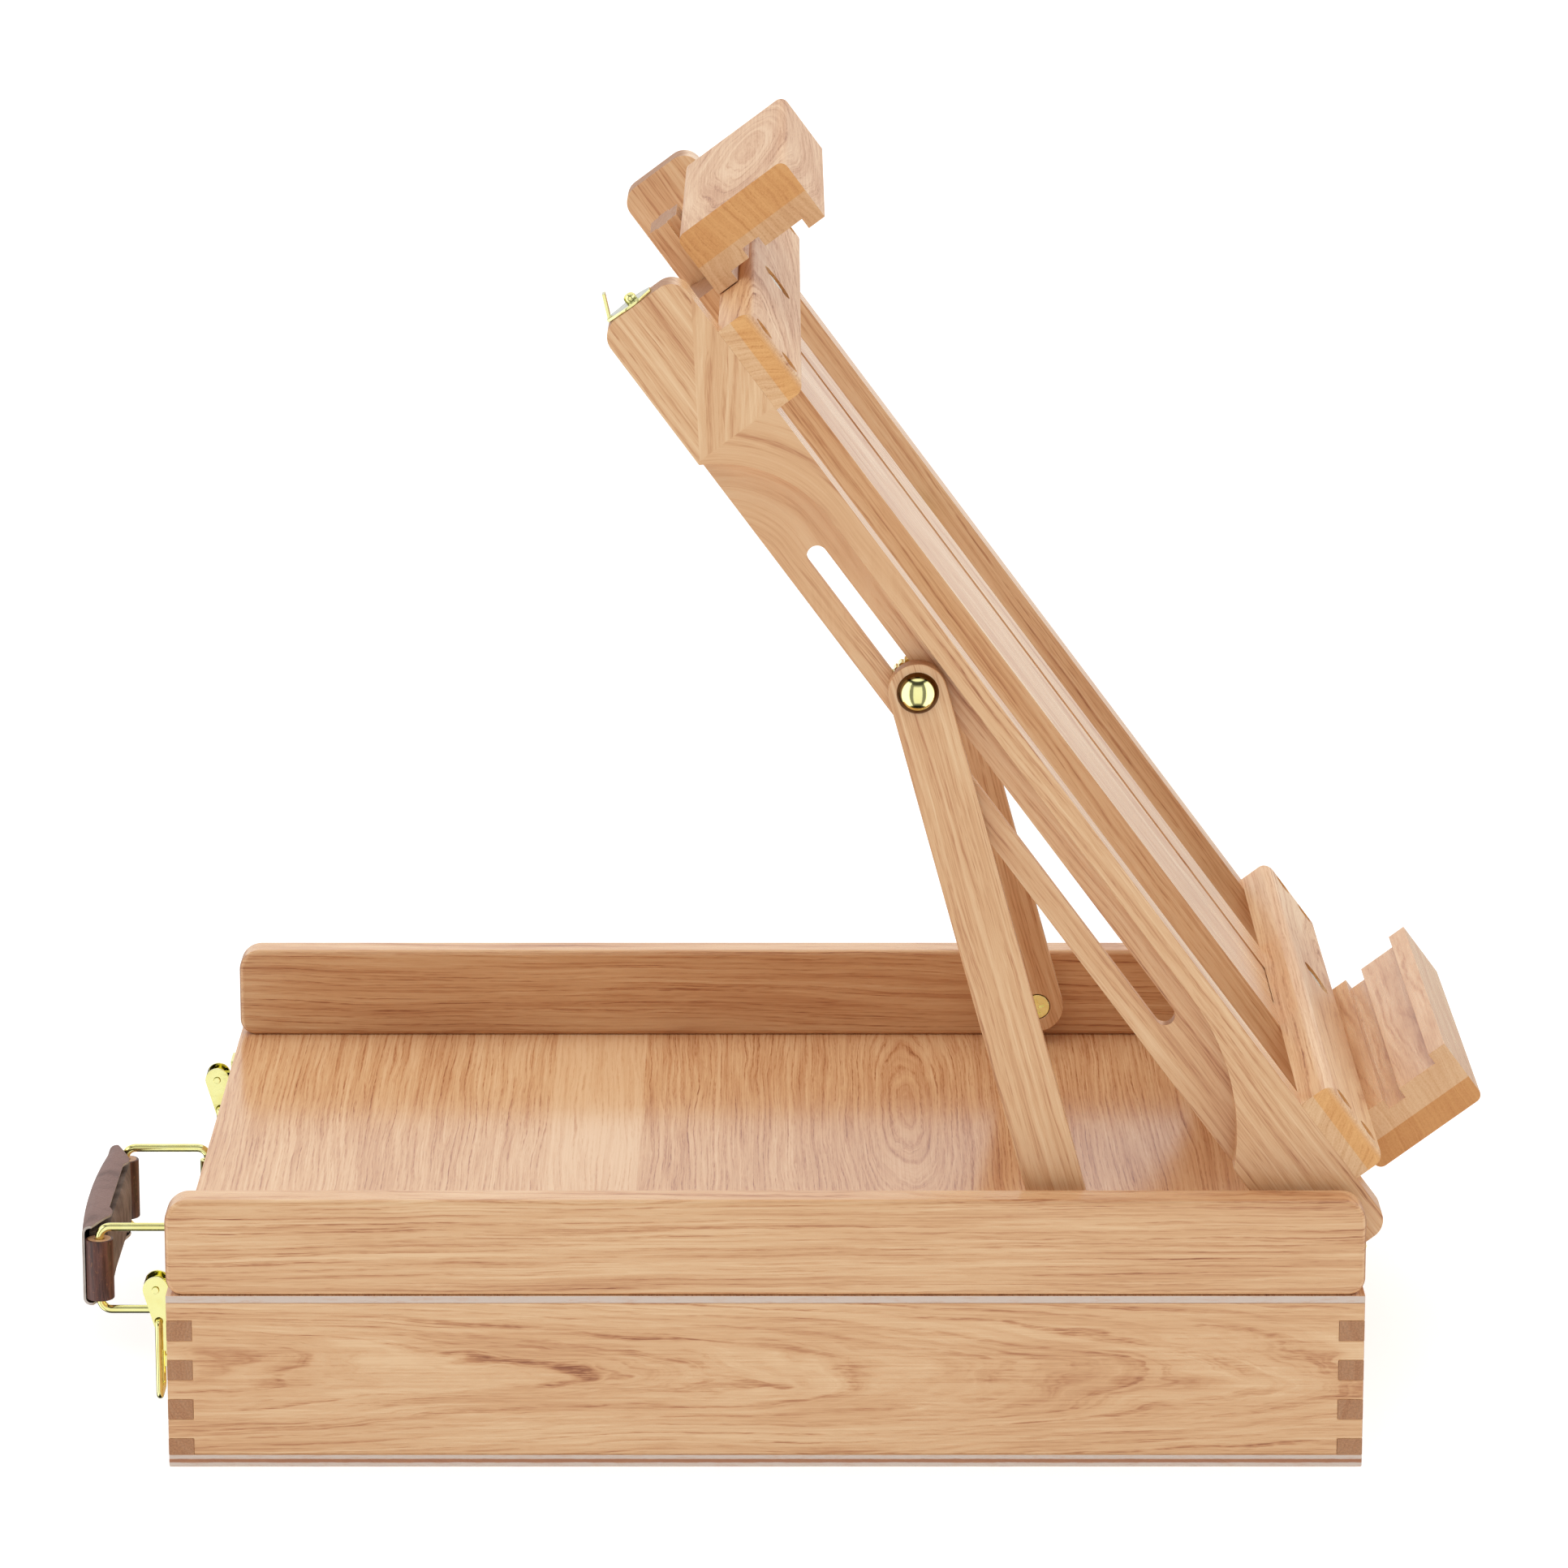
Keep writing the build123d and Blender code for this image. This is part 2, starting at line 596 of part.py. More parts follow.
def hook_screw():
    """The screw that the corner hook turns on."""
    seat = hook_place() - Vector(HOOK_THICK + BORE_GAP, 0, 0)
    return screw(seat, (1, 0, 0), HOOK_HEAD_RADIUS, HOOK_HEAD_HEIGHT, HOOK_SCREW_RADIUS,
                 HOOK_SCREW_LENGTH)


def corner_hook():
    """A leaf-shaped brass plate that turns on its screw, with one end bent up as a catch."""
    place = hook_place()
    foot_x = place.X - BORE_GAP / 2
    half = HOOK_WIDTH / 2
    neck = HOOK_NECK / 2
    shoulder = HOOK_SHOULDER
    right_edge = [(neck, -HOOK_BACK), (half, -shoulder), (half, shoulder), (neck, HOOK_FRONT)]
    left_edge = [(-y, z) for y, z in reversed(right_edge)]
    outline = make_face(Polyline(*right_edge, *left_edge, close=True))
    sides = outline.vertices().sort_by(Axis.X)
    outline = fillet(sides[:2] + sides[-2:], HOOK_CORNER)
    face = Plane(origin=(foot_x - HOOK_THICK, place.Y, place.Z), x_dir=(0, 1, 0), z_dir=(1, 0, 0))
    hook = extrude(face * outline, amount=HOOK_THICK)

    lean = radians(HOOK_ARM_LEAN)
    back = place.Z - HOOK_BACK
    tip = (foot_x - HOOK_ARM * cos(lean), back + HOOK_ARM * sin(lean))
    upper_tip = (tip[0] + HOOK_THICK * sin(lean), tip[1] + HOOK_THICK * cos(lean))
    root = (foot_x, back + HOOK_THICK / cos(lean))
    arm = make_face(Polyline((foot_x, back), tip, upper_tip, root, close=True))
    hook += slab(arm, place.Y - neck, place.Y + neck)
    return hook - rod(place - Vector(HOOK_ARM, 0, 0), place, HOOK_SCREW_RADIUS + BORE_GAP)


def frame_pivot():
    """The left frame pivot: a bolt from the board's inner face into the cheek, and its spacer."""
    seat = (PIVOT_X, -BOARD_INNER + BORE_GAP, PIVOT_Z)
    length = BOARD_THICK + SIDE_GAP + PIVOT_GRIP
    bolt = screw(seat, (0, -1, 0), PIVOT_HEAD_RADIUS, PIVOT_HEAD_HEIGHT, PIVOT_RADIUS, length)
    spacer = spacer_ring(PIVOT_X, PIVOT_Z, BOARD_OUTER, CHEEK_INNER, PIVOT_RADIUS + BORE_GAP)
    return bolt, spacer


def spacer_ring(x, z, y_inner, y_outer, bore):
    """A brass spacer between a moving piece and the left cheek."""
    start = (x, -y_inner - BORE_GAP, z)
    end = (x, -y_outer + BORE_GAP, z)
    return rod(start, end, bore + SPACER_WALL) - rod(start, end, bore)


# Support arms, drawn lying back and then raised ----------------------------------------------

def swung(shape):
    """A piece drawn along the folded arm, swung up to the arm's working angle."""
    return shape.rotate(Axis((ARM_X, 0, ARM_Z), (0, 1, 0)), ARM_ANGLE)


def support_arm():
    """The left support arm."""
    outline = Pos(ARM_X - ARM_LENGTH / 2, ARM_Z) * SlotCenterToCenter(ARM_LENGTH, ARM_WIDTH)
    arm = slab(outline, -ARM_OUTER, -ARM_INNER)
    arm -= rod((ARM_X, -ARM_OUTER, ARM_Z), (ARM_X, -ARM_INNER, ARM_Z), ARM_SCREW_RADIUS + BORE_GAP)
    arm -= rod((ARM_X, -ARM_INNER - ARM_SCREW_HEAD_HEIGHT - BORE_GAP, ARM_Z), (ARM_X, -ARM_INNER, ARM_Z),
               ARM_SCREW_HEAD_RADIUS + LOOSE_GAP)
    tip = ARM_X - ARM_LENGTH
    return arm - rod((tip, -ARM_OUTER, ARM_Z), (tip, -ARM_INNER, ARM_Z), KNOB_SHANK_RADIUS)


def arm_pivot():
    """The left arm's pivot: a cross-head screw sunk in the arm's inner face, and its spacer."""
    seat_y = -ARM_INNER - ARM_SCREW_HEAD_HEIGHT
    length = CHEEK_INNER + ARM_SCREW_GRIP + seat_y
    bolt = rod((ARM_X, seat_y, ARM_Z), (ARM_X, -ARM_INNER, ARM_Z), ARM_SCREW_HEAD_RADIUS)
    bolt += rod((ARM_X, seat_y, ARM_Z), (ARM_X, seat_y - length, ARM_Z), ARM_SCREW_RADIUS)
    y_range = (-ARM_INNER - CROSS_WIDTH, -ARM_INNER)
    half_length = CROSS_LENGTH / 2
    half_width = CROSS_WIDTH / 2
    for half_x, half_z in ((half_length, half_width), (half_width, half_length)):
        bolt -= block((ARM_X - half_x, ARM_X + half_x), y_range, (ARM_Z - half_z, ARM_Z + half_z))
    return bolt, spacer_ring(ARM_X, ARM_Z, ARM_OUTER, CHEEK_INNER, ARM_SCREW_RADIUS + BORE_GAP)


def knob():
    """The domed head and shank of the left slot bolt."""
    tip = ARM_X - ARM_LENGTH
    sphere_radius = (KNOB_RADIUS ** 2 + KNOB_HEIGHT ** 2) / (2 * KNOB_HEIGHT)
    ball = Pos(tip, -ARM_OUTER - KNOB_HEIGHT + sphere_radius, ARM_Z) * Sphere(sphere_radius)
    dome = ball & rod((tip, -ARM_OUTER - KNOB_HEIGHT, ARM_Z), (tip, -ARM_OUTER, ARM_Z), KNOB_RADIUS)
    return dome + rod((tip, -ARM_OUTER, ARM_Z), (tip, -ARM_INNER, ARM_Z), KNOB_SHANK_RADIUS)


def knurled_nut():
    """The left slot bolt's knurled cap nut, inside the slotted plate."""
    tip = ARM_X - ARM_LENGTH
    seat = -BOARD_INNER + ARM_CLEAR
    outline = Circle(NUT_RADIUS) - [spot * Circle(NUT_TOOTH_RADIUS)
                                    for spot in PolarLocations(NUT_RADIUS, NUT_TEETH)]
    return slab(Pos(tip, ARM_Z) * outline, seat, seat + NUT_HEIGHT)


# Handle ----------------------------------------------------------------------------------------

def handle_bracket_screws(side):
    """The two screws of one handle bracket."""
    for offset in (-BRACKET_SCREW_SPREAD / 2, BRACKET_SCREW_SPREAD / 2):
        y = side * HANDLE_SPREAD / 2 + offset
        yield small_screw((-BOX_END - BRACKET_PLATE, y, RING_MIDDLE), (1, 0, 0))


def handle_bracket(side):
    """A brass plate on the back end wall with a barrel for the ring's inner bar."""
    y = side * HANDLE_SPREAD / 2
    z_range = (RING_MIDDLE - BRACKET_HEIGHT / 2, RING_MIDDLE + BRACKET_HEIGHT / 2)
    y_range = (y - BRACKET_WIDTH / 2, y + BRACKET_WIDTH / 2)
    plate = block((-BOX_END - BRACKET_PLATE, -BOX_END), y_range, z_range)
    plate += block((RING_X, -BOX_END), (y - RING_WIRE_RADIUS, y + RING_WIRE_RADIUS), z_range)
    start = (RING_X, y, z_range[0])
    end = (RING_X, y, z_range[1])
    plate += rod(start, end, BRACKET_BARREL_RADIUS)
    for fastener in handle_bracket_screws(side):
        plate -= fastener
    return plate - rod(start, end, RING_WIRE_RADIUS + LOOSE_GAP)


def wire_loop(corner, along, up, length, height, radius, wire_radius):
    """A closed rectangular wire ring from its inner lower corner, with round corners."""
    place = Plane(origin=corner, x_dir=along, z_dir=Vector(along).cross(Vector(up)))
    outline = Pos(length / 2, height / 2) * RectangleRounded(length, height, radius)
    path = (place * outline).wire()
    section = Plane(origin=path @ 0, z_dir=path % 0) * Circle(wire_radius)
    return sweep(section, path=path)


def handle_ring(side):
    """One brass ring between the wall bracket and the grip."""
    corner = (RING_X, side * HANDLE_SPREAD / 2, RING_LOW)
    return wire_loop(corner, (-1, 0, 0), (0, 0, 1), RING_LENGTH, RING_HEIGHT, RING_CORNER, RING_WIRE_RADIUS)


def handle_grip():
    """The padded leather grip: a bulging strap with a loop round each ring's outer bar."""
    half = HANDLE_SPREAD / 2
    z_low = RING_MIDDLE - GRIP_HEIGHT / 2
    outer_x = GRIP_X - GRIP_LOOP_RADIUS
    inner_x = GRIP_X - GRIP_INNER
    outline = make_face([
        ThreePointArc((outer_x, -half), (outer_x - GRIP_BULGE, 0), (outer_x, half)),
        Polyline((outer_x, half), (inner_x, half), (inner_x, -half), (outer_x, -half)),
    ])
    grip = extrude(Pos(0, 0, z_low) * outline, amount=GRIP_HEIGHT)
    for y in (-half, half):
        grip += rod((GRIP_X, y, z_low), (GRIP_X, y, z_low + GRIP_HEIGHT), GRIP_LOOP_RADIUS)
    for y in (-half, half):
        grip -= rod((GRIP_X, y, z_low), (GRIP_X, y, z_low + GRIP_HEIGHT), RING_WIRE_RADIUS + LOOSE_GAP)
    return grip


# Latches, drawn for the left side ----------------------------------------------------------------

def latch_tab_screws(y):
    """The two sunk screws of one latch tab, up into the lid."""
    x = -BOX_END + LATCH_TAB * LATCH_SCREW_PLACE
    seat_z = TAB_LOW + LATCH_SCREW_SINK
    for offset in (-LATCH_SCREW_SPREAD / 2, LATCH_SCREW_SPREAD / 2):
        yield screw((x, y + offset, seat_z), (0, 0, 1), SMALL_HEAD_RADIUS, LATCH_SCREW_SINK,
                    SMALL_SHANK_RADIUS, LID_TOP - LOOSE_GAP - seat_z)


def latch_tab_pocket(y):
    """The shallow pocket under the lid's end that one latch tab is let into."""
    half = LATCH_WIDTH / 2 + BORE_GAP
    x_range = (-BOX_END, -BOX_END + LATCH_TAB + BORE_GAP)
    return block(x_range, (y - half, y + half), (WALL_TOP, TAB_HIGH))


def catch_screws(y):
    """The two screws of one catch."""
    margin = SMALL_HEAD_RADIUS + SMALL_MARGIN
    for z in (CATCH_TOP - margin, CATCH_TOP - CATCH_HEIGHT + margin):
        yield small_screw((-BOX_END - LATCH_SHEET, y, z), (1, 0, 0))


def latch_bracket(y):
    """A bent brass tab let in under the lid, with two ears that carry the lever's rivet."""
    half = LATCH_WIDTH / 2
    face = -BOX_END - LOOSE_GAP
    tab = block((face, -BOX_END + LATCH_TAB), (y - half, y + half), (TAB_LOW, TAB_HIGH))
    leg = block((face - LATCH_SHEET, face), (y - half, y + half), (LID_TOP - LATCH_LEG, TAB_HIGH))
    tab += leg
    ear_outer = LEVER_WIDTH / 2 - LATCH_SHEET - LOOSE_GAP
    ear_radius = 2 * LATCH_PIN_RADIUS
    for side in (-1, 1):
        y_range = (y + side * ear_outer, y + side * (ear_outer - LATCH_SHEET))
        tab += block((LEVER_X, face), y_range, (LEVER_Z - ear_radius, LEVER_Z + LATCH_PIN_RADIUS))
        tab += rod((LEVER_X, y_range[0], LEVER_Z), (LEVER_X, y_range[1], LEVER_Z), ear_radius)
    tab -= lever_pin(y)
    for fastener in latch_tab_screws(y):
        tab -= fastener
    return tab


def lever_pin(y):
    """The rivet that a latch lever swings on."""
    half = LEVER_WIDTH / 2 + LATCH_SHEET
    return rod((LEVER_X, y - half, LEVER_Z), (LEVER_X, y + half, LEVER_Z), LATCH_PIN_RADIUS)


def latch_lever(y):
    """A teardrop-shaped channel lever, bored for its rivet and for the bail."""
    head = Pos(LEVER_X, LEVER_Z) * Circle(LEVER_HEAD_RADIUS)
    tip = Pos(LEVER_X + LEVER_TIP_INSET, LEVER_Z - LEVER_LENGTH) * Circle(LEVER_TIP_RADIUS)
    outline = make_hull(head.edges() + tip.edges())
    half = LEVER_WIDTH / 2
    lever = slab(outline, y - half, y + half)
    channel = Pos(LATCH_SHEET, 0) * outline + Pos(LEVER_HEAD_RADIUS, 0) * outline
    mouth = Rectangle(2 * (LEVER_HEAD_RADIUS - LATCH_SHEET), LEVER_HEAD_RADIUS)
    channel += Pos(LEVER_X, LEVER_Z + LEVER_HEAD_RADIUS / 2) * mouth
    lever -= slab(channel, y - half + LATCH_SHEET, y + half - LATCH_SHEET)
    bores = ((LEVER_X, LEVER_Z, LATCH_PIN_RADIUS + BORE_GAP), (BAIL_X, BAIL_Z, BAIL_WIRE_RADIUS + LOOSE_GAP))
    for x, z, bore in bores:
        lever -= rod((x, y - half, z), (x, y + half, z), bore)
    return lever


def latch_bail(y):
    """The wire bail that hangs from the lever."""
    corner = (BAIL_X, y - BAIL_WIDTH / 2, BAIL_Z - BAIL_LENGTH)
    return wire_loop(corner, (0, 1, 0), (0, 0, 1), BAIL_WIDTH, BAIL_LENGTH, 2 * BAIL_WIRE_RADIUS,
                     BAIL_WIRE_RADIUS)


def latch_catch(y):
    """The catch on the end wall: a plate with a lip that opens downward."""
    half = CATCH_WIDTH / 2
    z_range = (CATCH_TOP - CATCH_HEIGHT, CATCH_TOP)
    plate = block((-BOX_END - LATCH_SHEET, -BOX_END), (y - half, y + half), z_range)
    middle = CATCH_TOP - CATCH_HEIGHT / 2
    outer = -BOX_END - CATCH_OUT
    y_range = (y - half + LATCH_SHEET, y + half - LATCH_SHEET)
    plate += block((outer, -BOX_END), y_range, (middle, middle + LATCH_SHEET))
    plate += block((outer, outer + LATCH_SHEET), y_range, (middle - CATCH_LIP / 3, middle))
    for fastener in catch_screws(y):
        plate -= fastener
    return plate


# Everything is built and written ----------------------------------------------------------------

os.makedirs("parts", exist_ok=True)

save("bottom_panel", block((-BOX_END, BOX_END), (-BOX_SIDE, BOX_SIDE), (0, BOTTOM_THICK)))
save_pair("side_wall", side_wall())

front_wall = end_wall(1)
back_wall = end_wall(-1)
wall_screws = [fastener for side in (-1, 1) for fastener in hinge_screws(side, True)]
bracket_screws = [fastener for side in (-1, 1) for fastener in handle_bracket_screws(side)]
latch_rows = (-LATCH_Y, LATCH_Y)
catch_fasteners = [fastener for y in latch_rows for fastener in catch_screws(y)]
save("end_wall_front", front_wall - wall_screws)
save("end_wall_back", back_wall - bracket_screws - catch_fasteners)
long_divider, short_dividers = box_dividers()
save("divider_long", long_divider)
save("dividers_short", *short_dividers)

lid_screws = [fastener for side in (-1, 1) for fastener in hinge_screws(side, False)]
tab_screws = [fastener for y in latch_rows for fastener in latch_tab_screws(y)]
lid = block((-BOX_END, BOX_END), (-BOX_SIDE, BOX_SIDE), (WALL_TOP, LID_TOP))
pockets = [latch_tab_pocket(y) for y in latch_rows]
save("lid_panel", lid - lid_screws - tab_screws - pockets)
save_pair("cheek", cheek())

save("hinge_wall_leaves", hinge_wall_leaf(-1), hinge_wall_leaf(1))
save("hinge_lid_leaves", hinge_lid_leaf(-1), hinge_lid_leaf(1))
save("hinge_pins", hinge_pin_at(-1, HINGE_PIN_RADIUS), hinge_pin_at(1, HINGE_PIN_RADIUS))
save("hinge_wall_screws", *wall_screws)
save("hinge_lid_screws", *lid_screws)

board = side_board()
save("frame_side_left", raised(board - hook_screw()))
save("frame_side_right", raised(mirrored(board)))
save("crossbar_top", raised(crossbar(UPPER_BAR_TOP, BOLT_PLACES[0])))
save("crossbar_bottom", raised(crossbar(LOWER_BAR_TOP, BOLT_PLACES[1])))
save("crossbar_screws", *[raised(fastener) for fastener in bar_screws()])
save("mast_friction_bolts", *[raised(fastener) for fastener in centre_bolts()])
save_pair("mast_guide", guide(), raised)
save("guide_screws", *[raised(fastener) for fastener in guide_screws()])
save("canvas_tray", raised(canvas_tray()))
save("mast_slider", raised(mast_slider()))
save("canvas_clamp", raised(canvas_clamp()))
save("clamp_screws", *[raised(fastener) for fastener in clamp_screws()])
save("corner_hook", raised(corner_hook()))
save("hook_screw", raised(hook_screw()))

pivot_bolt, pivot_spacer = frame_pivot()
save("frame_pivot_bolts", raised(pivot_bolt), raised(mirrored(pivot_bolt)))
save("frame_spacers", raised(pivot_spacer), raised(mirrored(pivot_spacer)))

arm_bolt, arm_spacer = arm_pivot()
save_pair("support_arm", support_arm(), swung)
save_pair("arm_pivot_screw", arm_bolt, swung)
save_pair("arm_spacer", arm_spacer, swung)
save_pair("slot_bolt", knob(), swung)
save_pair("knurled_nut", knurled_nut(), swung)

save("handle_brackets", handle_bracket(-1), handle_bracket(1))
save("handle_screws", *bracket_screws)
save("handle_ring_left", handle_ring(-1))
save("handle_ring_right", handle_ring(1))
save("handle_grip", handle_grip())

for name, y in zip(("left", "right"), latch_rows):
    save(f"latch_bracket_{name}", latch_bracket(y))
    save(f"latch_pin_{name}", lever_pin(y))
    save(f"latch_lever_{name}", latch_lever(y))
    save(f"latch_bail_{name}", latch_bail(y))
    save(f"latch_catch_{name}", latch_catch(y))
save("latch_tab_screws", *tab_screws)
save("catch_screws", *catch_fasteners)
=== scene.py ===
"""Pochade box: a wooden table-top sketch box whose hinged lid carries a folding easel."""

import json
import math

import bpy
from mathutils import Euler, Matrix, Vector


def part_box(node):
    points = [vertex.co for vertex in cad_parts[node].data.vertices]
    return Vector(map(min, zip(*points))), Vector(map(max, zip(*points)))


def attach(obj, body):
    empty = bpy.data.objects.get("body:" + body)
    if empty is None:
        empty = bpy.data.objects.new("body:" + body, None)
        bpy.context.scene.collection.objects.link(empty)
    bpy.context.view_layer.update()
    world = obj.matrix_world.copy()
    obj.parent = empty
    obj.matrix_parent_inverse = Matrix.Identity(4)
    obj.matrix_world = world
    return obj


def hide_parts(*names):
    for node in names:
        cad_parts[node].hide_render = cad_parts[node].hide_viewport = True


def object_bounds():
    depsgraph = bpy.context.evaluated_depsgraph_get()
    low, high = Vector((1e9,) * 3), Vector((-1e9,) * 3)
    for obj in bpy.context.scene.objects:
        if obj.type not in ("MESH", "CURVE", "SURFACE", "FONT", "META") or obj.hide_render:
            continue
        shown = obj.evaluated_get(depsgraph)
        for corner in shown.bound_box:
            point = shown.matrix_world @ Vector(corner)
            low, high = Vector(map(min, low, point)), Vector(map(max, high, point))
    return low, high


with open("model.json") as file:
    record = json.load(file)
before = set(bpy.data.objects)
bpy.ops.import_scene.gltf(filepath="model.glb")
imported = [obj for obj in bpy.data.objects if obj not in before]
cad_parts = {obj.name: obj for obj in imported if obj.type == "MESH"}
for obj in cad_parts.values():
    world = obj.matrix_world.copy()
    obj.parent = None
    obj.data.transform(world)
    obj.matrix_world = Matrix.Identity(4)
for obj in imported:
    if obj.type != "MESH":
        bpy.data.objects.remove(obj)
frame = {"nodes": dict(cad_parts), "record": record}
cad_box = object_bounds()

# The pieces' places and lengths are in mm, and times MM they are the frame's metres. The scales of the
# markings and the studio are in metres.
MM = 0.001

# The easel frame leans back about the line through its two pivots, and the support arms prop it.
PIVOT_X = 197.5
PIVOT_Z = 78.5
EASEL_PIVOT = Vector((PIVOT_X, 0, PIVOT_Z)) * MM
EASEL_LEAN = math.radians(53.4)
ARM_LEAN = math.radians(-105.4)
BOARD_FACING = (-math.cos(EASEL_LEAN), 0, math.sin(EASEL_LEAN))


# ---------------------------------------------------------------- shader maths


class Value:
    """A number or colour in a material, with arithmetic written as in Python."""

    def __init__(self, nodes, socket):
        self.nodes = nodes
        self.socket = socket

    def math(self, operation, *others):
        sockets = dict(enumerate((self, *others)))
        return self.nodes.add("ShaderNodeMath", {"operation": operation}, sockets)

    def reversed_math(self, operation, other):
        return self.nodes.add("ShaderNodeMath", {"operation": operation}, {0: other, 1: self})

    def __add__(self, other):
        return self.math("ADD", other)

    __radd__ = __add__

    def __sub__(self, other):
        return self.math("SUBTRACT", other)

    def __rsub__(self, other):
        return self.reversed_math("SUBTRACT", other)

    def __mul__(self, other):
        return self.math("MULTIPLY", other)

    __rmul__ = __mul__

    def __truediv__(self, other):
        return self.math("DIVIDE", other)

    def __rtruediv__(self, other):
        return self.reversed_math("DIVIDE", other)

    def __pow__(self, other):
        return self.math("POWER", other)

    def step(self, low, high, bottom=0.0, top=1.0):
        """A soft step from bottom to top as the value goes from low to high."""
        settings = {"interpolation_type": "SMOOTHSTEP"}
        sockets = {0: self, 1: low, 2: high, 3: bottom, 4: top}
        return self.nodes.add("ShaderNodeMapRange", settings, sockets)


class Nodes:
    """The nodes of a material or of the air round the object."""

    def __init__(self, tree):
        self.tree = tree

    def add(self, kind, settings=None, sockets=None, output=0):
        """Adds one node; a ramp's stops are (place, colour) pairs."""
        node = self.tree.nodes.new(kind)
        settings = dict(settings or {})
        stops = settings.pop("stops", None)
        for key, value in settings.items():
            setattr(node, key, value)
        if stops:
            ramp = node.color_ramp
            while len(ramp.elements) < len(stops):
                ramp.elements.new(1.0)
            for element, (place, colour) in zip(ramp.elements, stops):
                element.position = place
                element.color = colour
        for key, value in (sockets or {}).items():
            self.feed(node.inputs[key], value)
        return Value(self, node.outputs[output])

    def feed(self, socket, value):
        if isinstance(value, Value):
            self.tree.links.new(value.socket, socket)
        else:
            socket.default_value = value

    def place(self, turn=(0, 0, 0), centre=(0, 0, 0)):
        """Object coordinates seen from a centre, with the piece's own turn taken out."""
        points = self.add("ShaderNodeTexCoord", output=3)
        return self.add(
            "ShaderNodeMapping",
            {"vector_type": "TEXTURE"},
            {"Vector": points, "Location": centre, "Rotation": turn},
        )

    def axes(self, place):
        """The three parts of a place, each as a value."""
        return [self.add("ShaderNodeSeparateXYZ", None, {0: place}, output=i) for i in range(3)]

    def facing(self, direction):
        """How squarely the surface faces a direction, from -1 to 1."""
        normal = self.add("ShaderNodeTexCoord", output=1)
        sockets = {0: normal, 1: direction}
        return self.add("ShaderNodeVectorMath", {"operation": "DOT_PRODUCT"}, sockets, output=1)

    def point(self, x, y, z):
        return self.add("ShaderNodeCombineXYZ", None, {0: x, 1: y, 2: z})

    def stretched(self, place, scale):
        """The place scaled along each axis: a large scale makes a pattern fine along that axis."""
        return self.add("ShaderNodeMapping", None, {"Vector": place, "Scale": scale})

    def noise(self, place, scale=1.0, detail=2.0, rough=0.5, distortion=0.0):
        sockets = {
            "Vector": place,
            "Scale": scale,
            "Detail": detail,
            "Roughness": rough,
            "Distortion": distortion,
        }
        return self.add("ShaderNodeTexNoise", None, sockets)

    def mix(self, factor, first, second, blend="MIX"):
        settings = {"data_type": "RGBA", "blend_type": blend}
        return self.add("ShaderNodeMix", settings, {0: factor, 6: first, 7: second}, output=2)

    def ramp(self, factor, stops):
        return self.add("ShaderNodeValToRGB", {"stops": stops}, {0: factor})


class Finish(Nodes):
    """A material in the making: its Principled shader and the nodes that feed it."""

    def __init__(self, name, roughness=0.5, metallic=0.0):
        self.material = bpy.data.materials.new(name)
        self.material.use_nodes = True
        super().__init__(self.material.node_tree)
        self.shader = self.tree.nodes["Principled BSDF"]
        self.shader.inputs["Roughness"].default_value = roughness
        self.shader.inputs["Metallic"].default_value = metallic

    def bump(self, height, strength, distance):
        sockets = {"Height": height, "Strength": strength, "Distance": distance}
        self.feed(self.shader.inputs["Normal"], self.add("ShaderNodeBump", None, sockets))

    def colour(self, value):
        self.feed(self.shader.inputs["Base Color"], value)

    def roughness(self, value):
        self.feed(self.shader.inputs["Roughness"], value)


def tone(red, green, blue):
    """A display colour from 0 to 255 as the linear colour that a shader takes."""
    linear = []
    for part in (red, green, blue):
        part = part / 255
        linear.append(part / 12.92 if part <= 0.04045 else ((part + 0.055) / 1.055) ** 2.4)
    return (*linear, 1.0)


# ---------------------------------------------------------------- wood


ALONG_X = (0, 0, 0)
ALONG_Y = (0, 0, math.pi / 2)
ALONG_BOARD = (0, EASEL_LEAN, 0)
ALONG_ARM = (0, ARM_LEAN, 0)
ACROSS_BOARD = (Euler(ALONG_BOARD).to_matrix() @ Euler(ALONG_Y).to_matrix()).to_euler()[:]

WOOD_PALE = tone(236, 198, 154)
WOOD_MID = tone(221, 174, 127)
WOOD_LINE = tone(197, 140, 95)
WOOD_DEEP = tone(150, 90, 56)
END_GRAIN = tone(150, 100, 68)

# The colours that a lamella is multiplied by where it shows on the end of a crossbar, clamp or tray.
STAIN_GOLD = tone(255, 236, 200)
STAIN_LIGHT = tone(255, 238, 206)
STAIN_AMBER = tone(238, 210, 168)

PLY_PALE = tone(214, 196, 182)
PLY_BROWN = tone(168, 112, 78)

# The lid's veneer: the seams of the board that is cut through its heart, and for every seam how much
# darker than the first board the wood past it is.
HEART_SEAMS = (-12, 78.7)
LID_SEAMS = ((-151, 0.03), (-118.6, -0.03), (-81.5, -0.11), (-46.8, 0.05), (HEART_SEAMS[0], 0.05),
             (HEART_SEAMS[1], 0.1), (118, 0.0), (160, 0.06))

# The glued block on the left board, as it lies when the frame is folded flat: where its slanting glue
# line starts and how it slopes, the centre of the routed curve, and the end of the block.
GLUE_START = (-149.7, 63.2)
GLUE_SLOPE = math.radians(-33.8)
CURVE_CENTRE = (-108.6, 40.7)
GLUED_UNTIL = (-100, -60)


def between(value, low, high, soft=4):
    """1 where the value lies between low and high, with soft ends."""
    return value.step(low - soft, low + soft) * value.step(high - soft, high + soft, 1.0, 0.0)


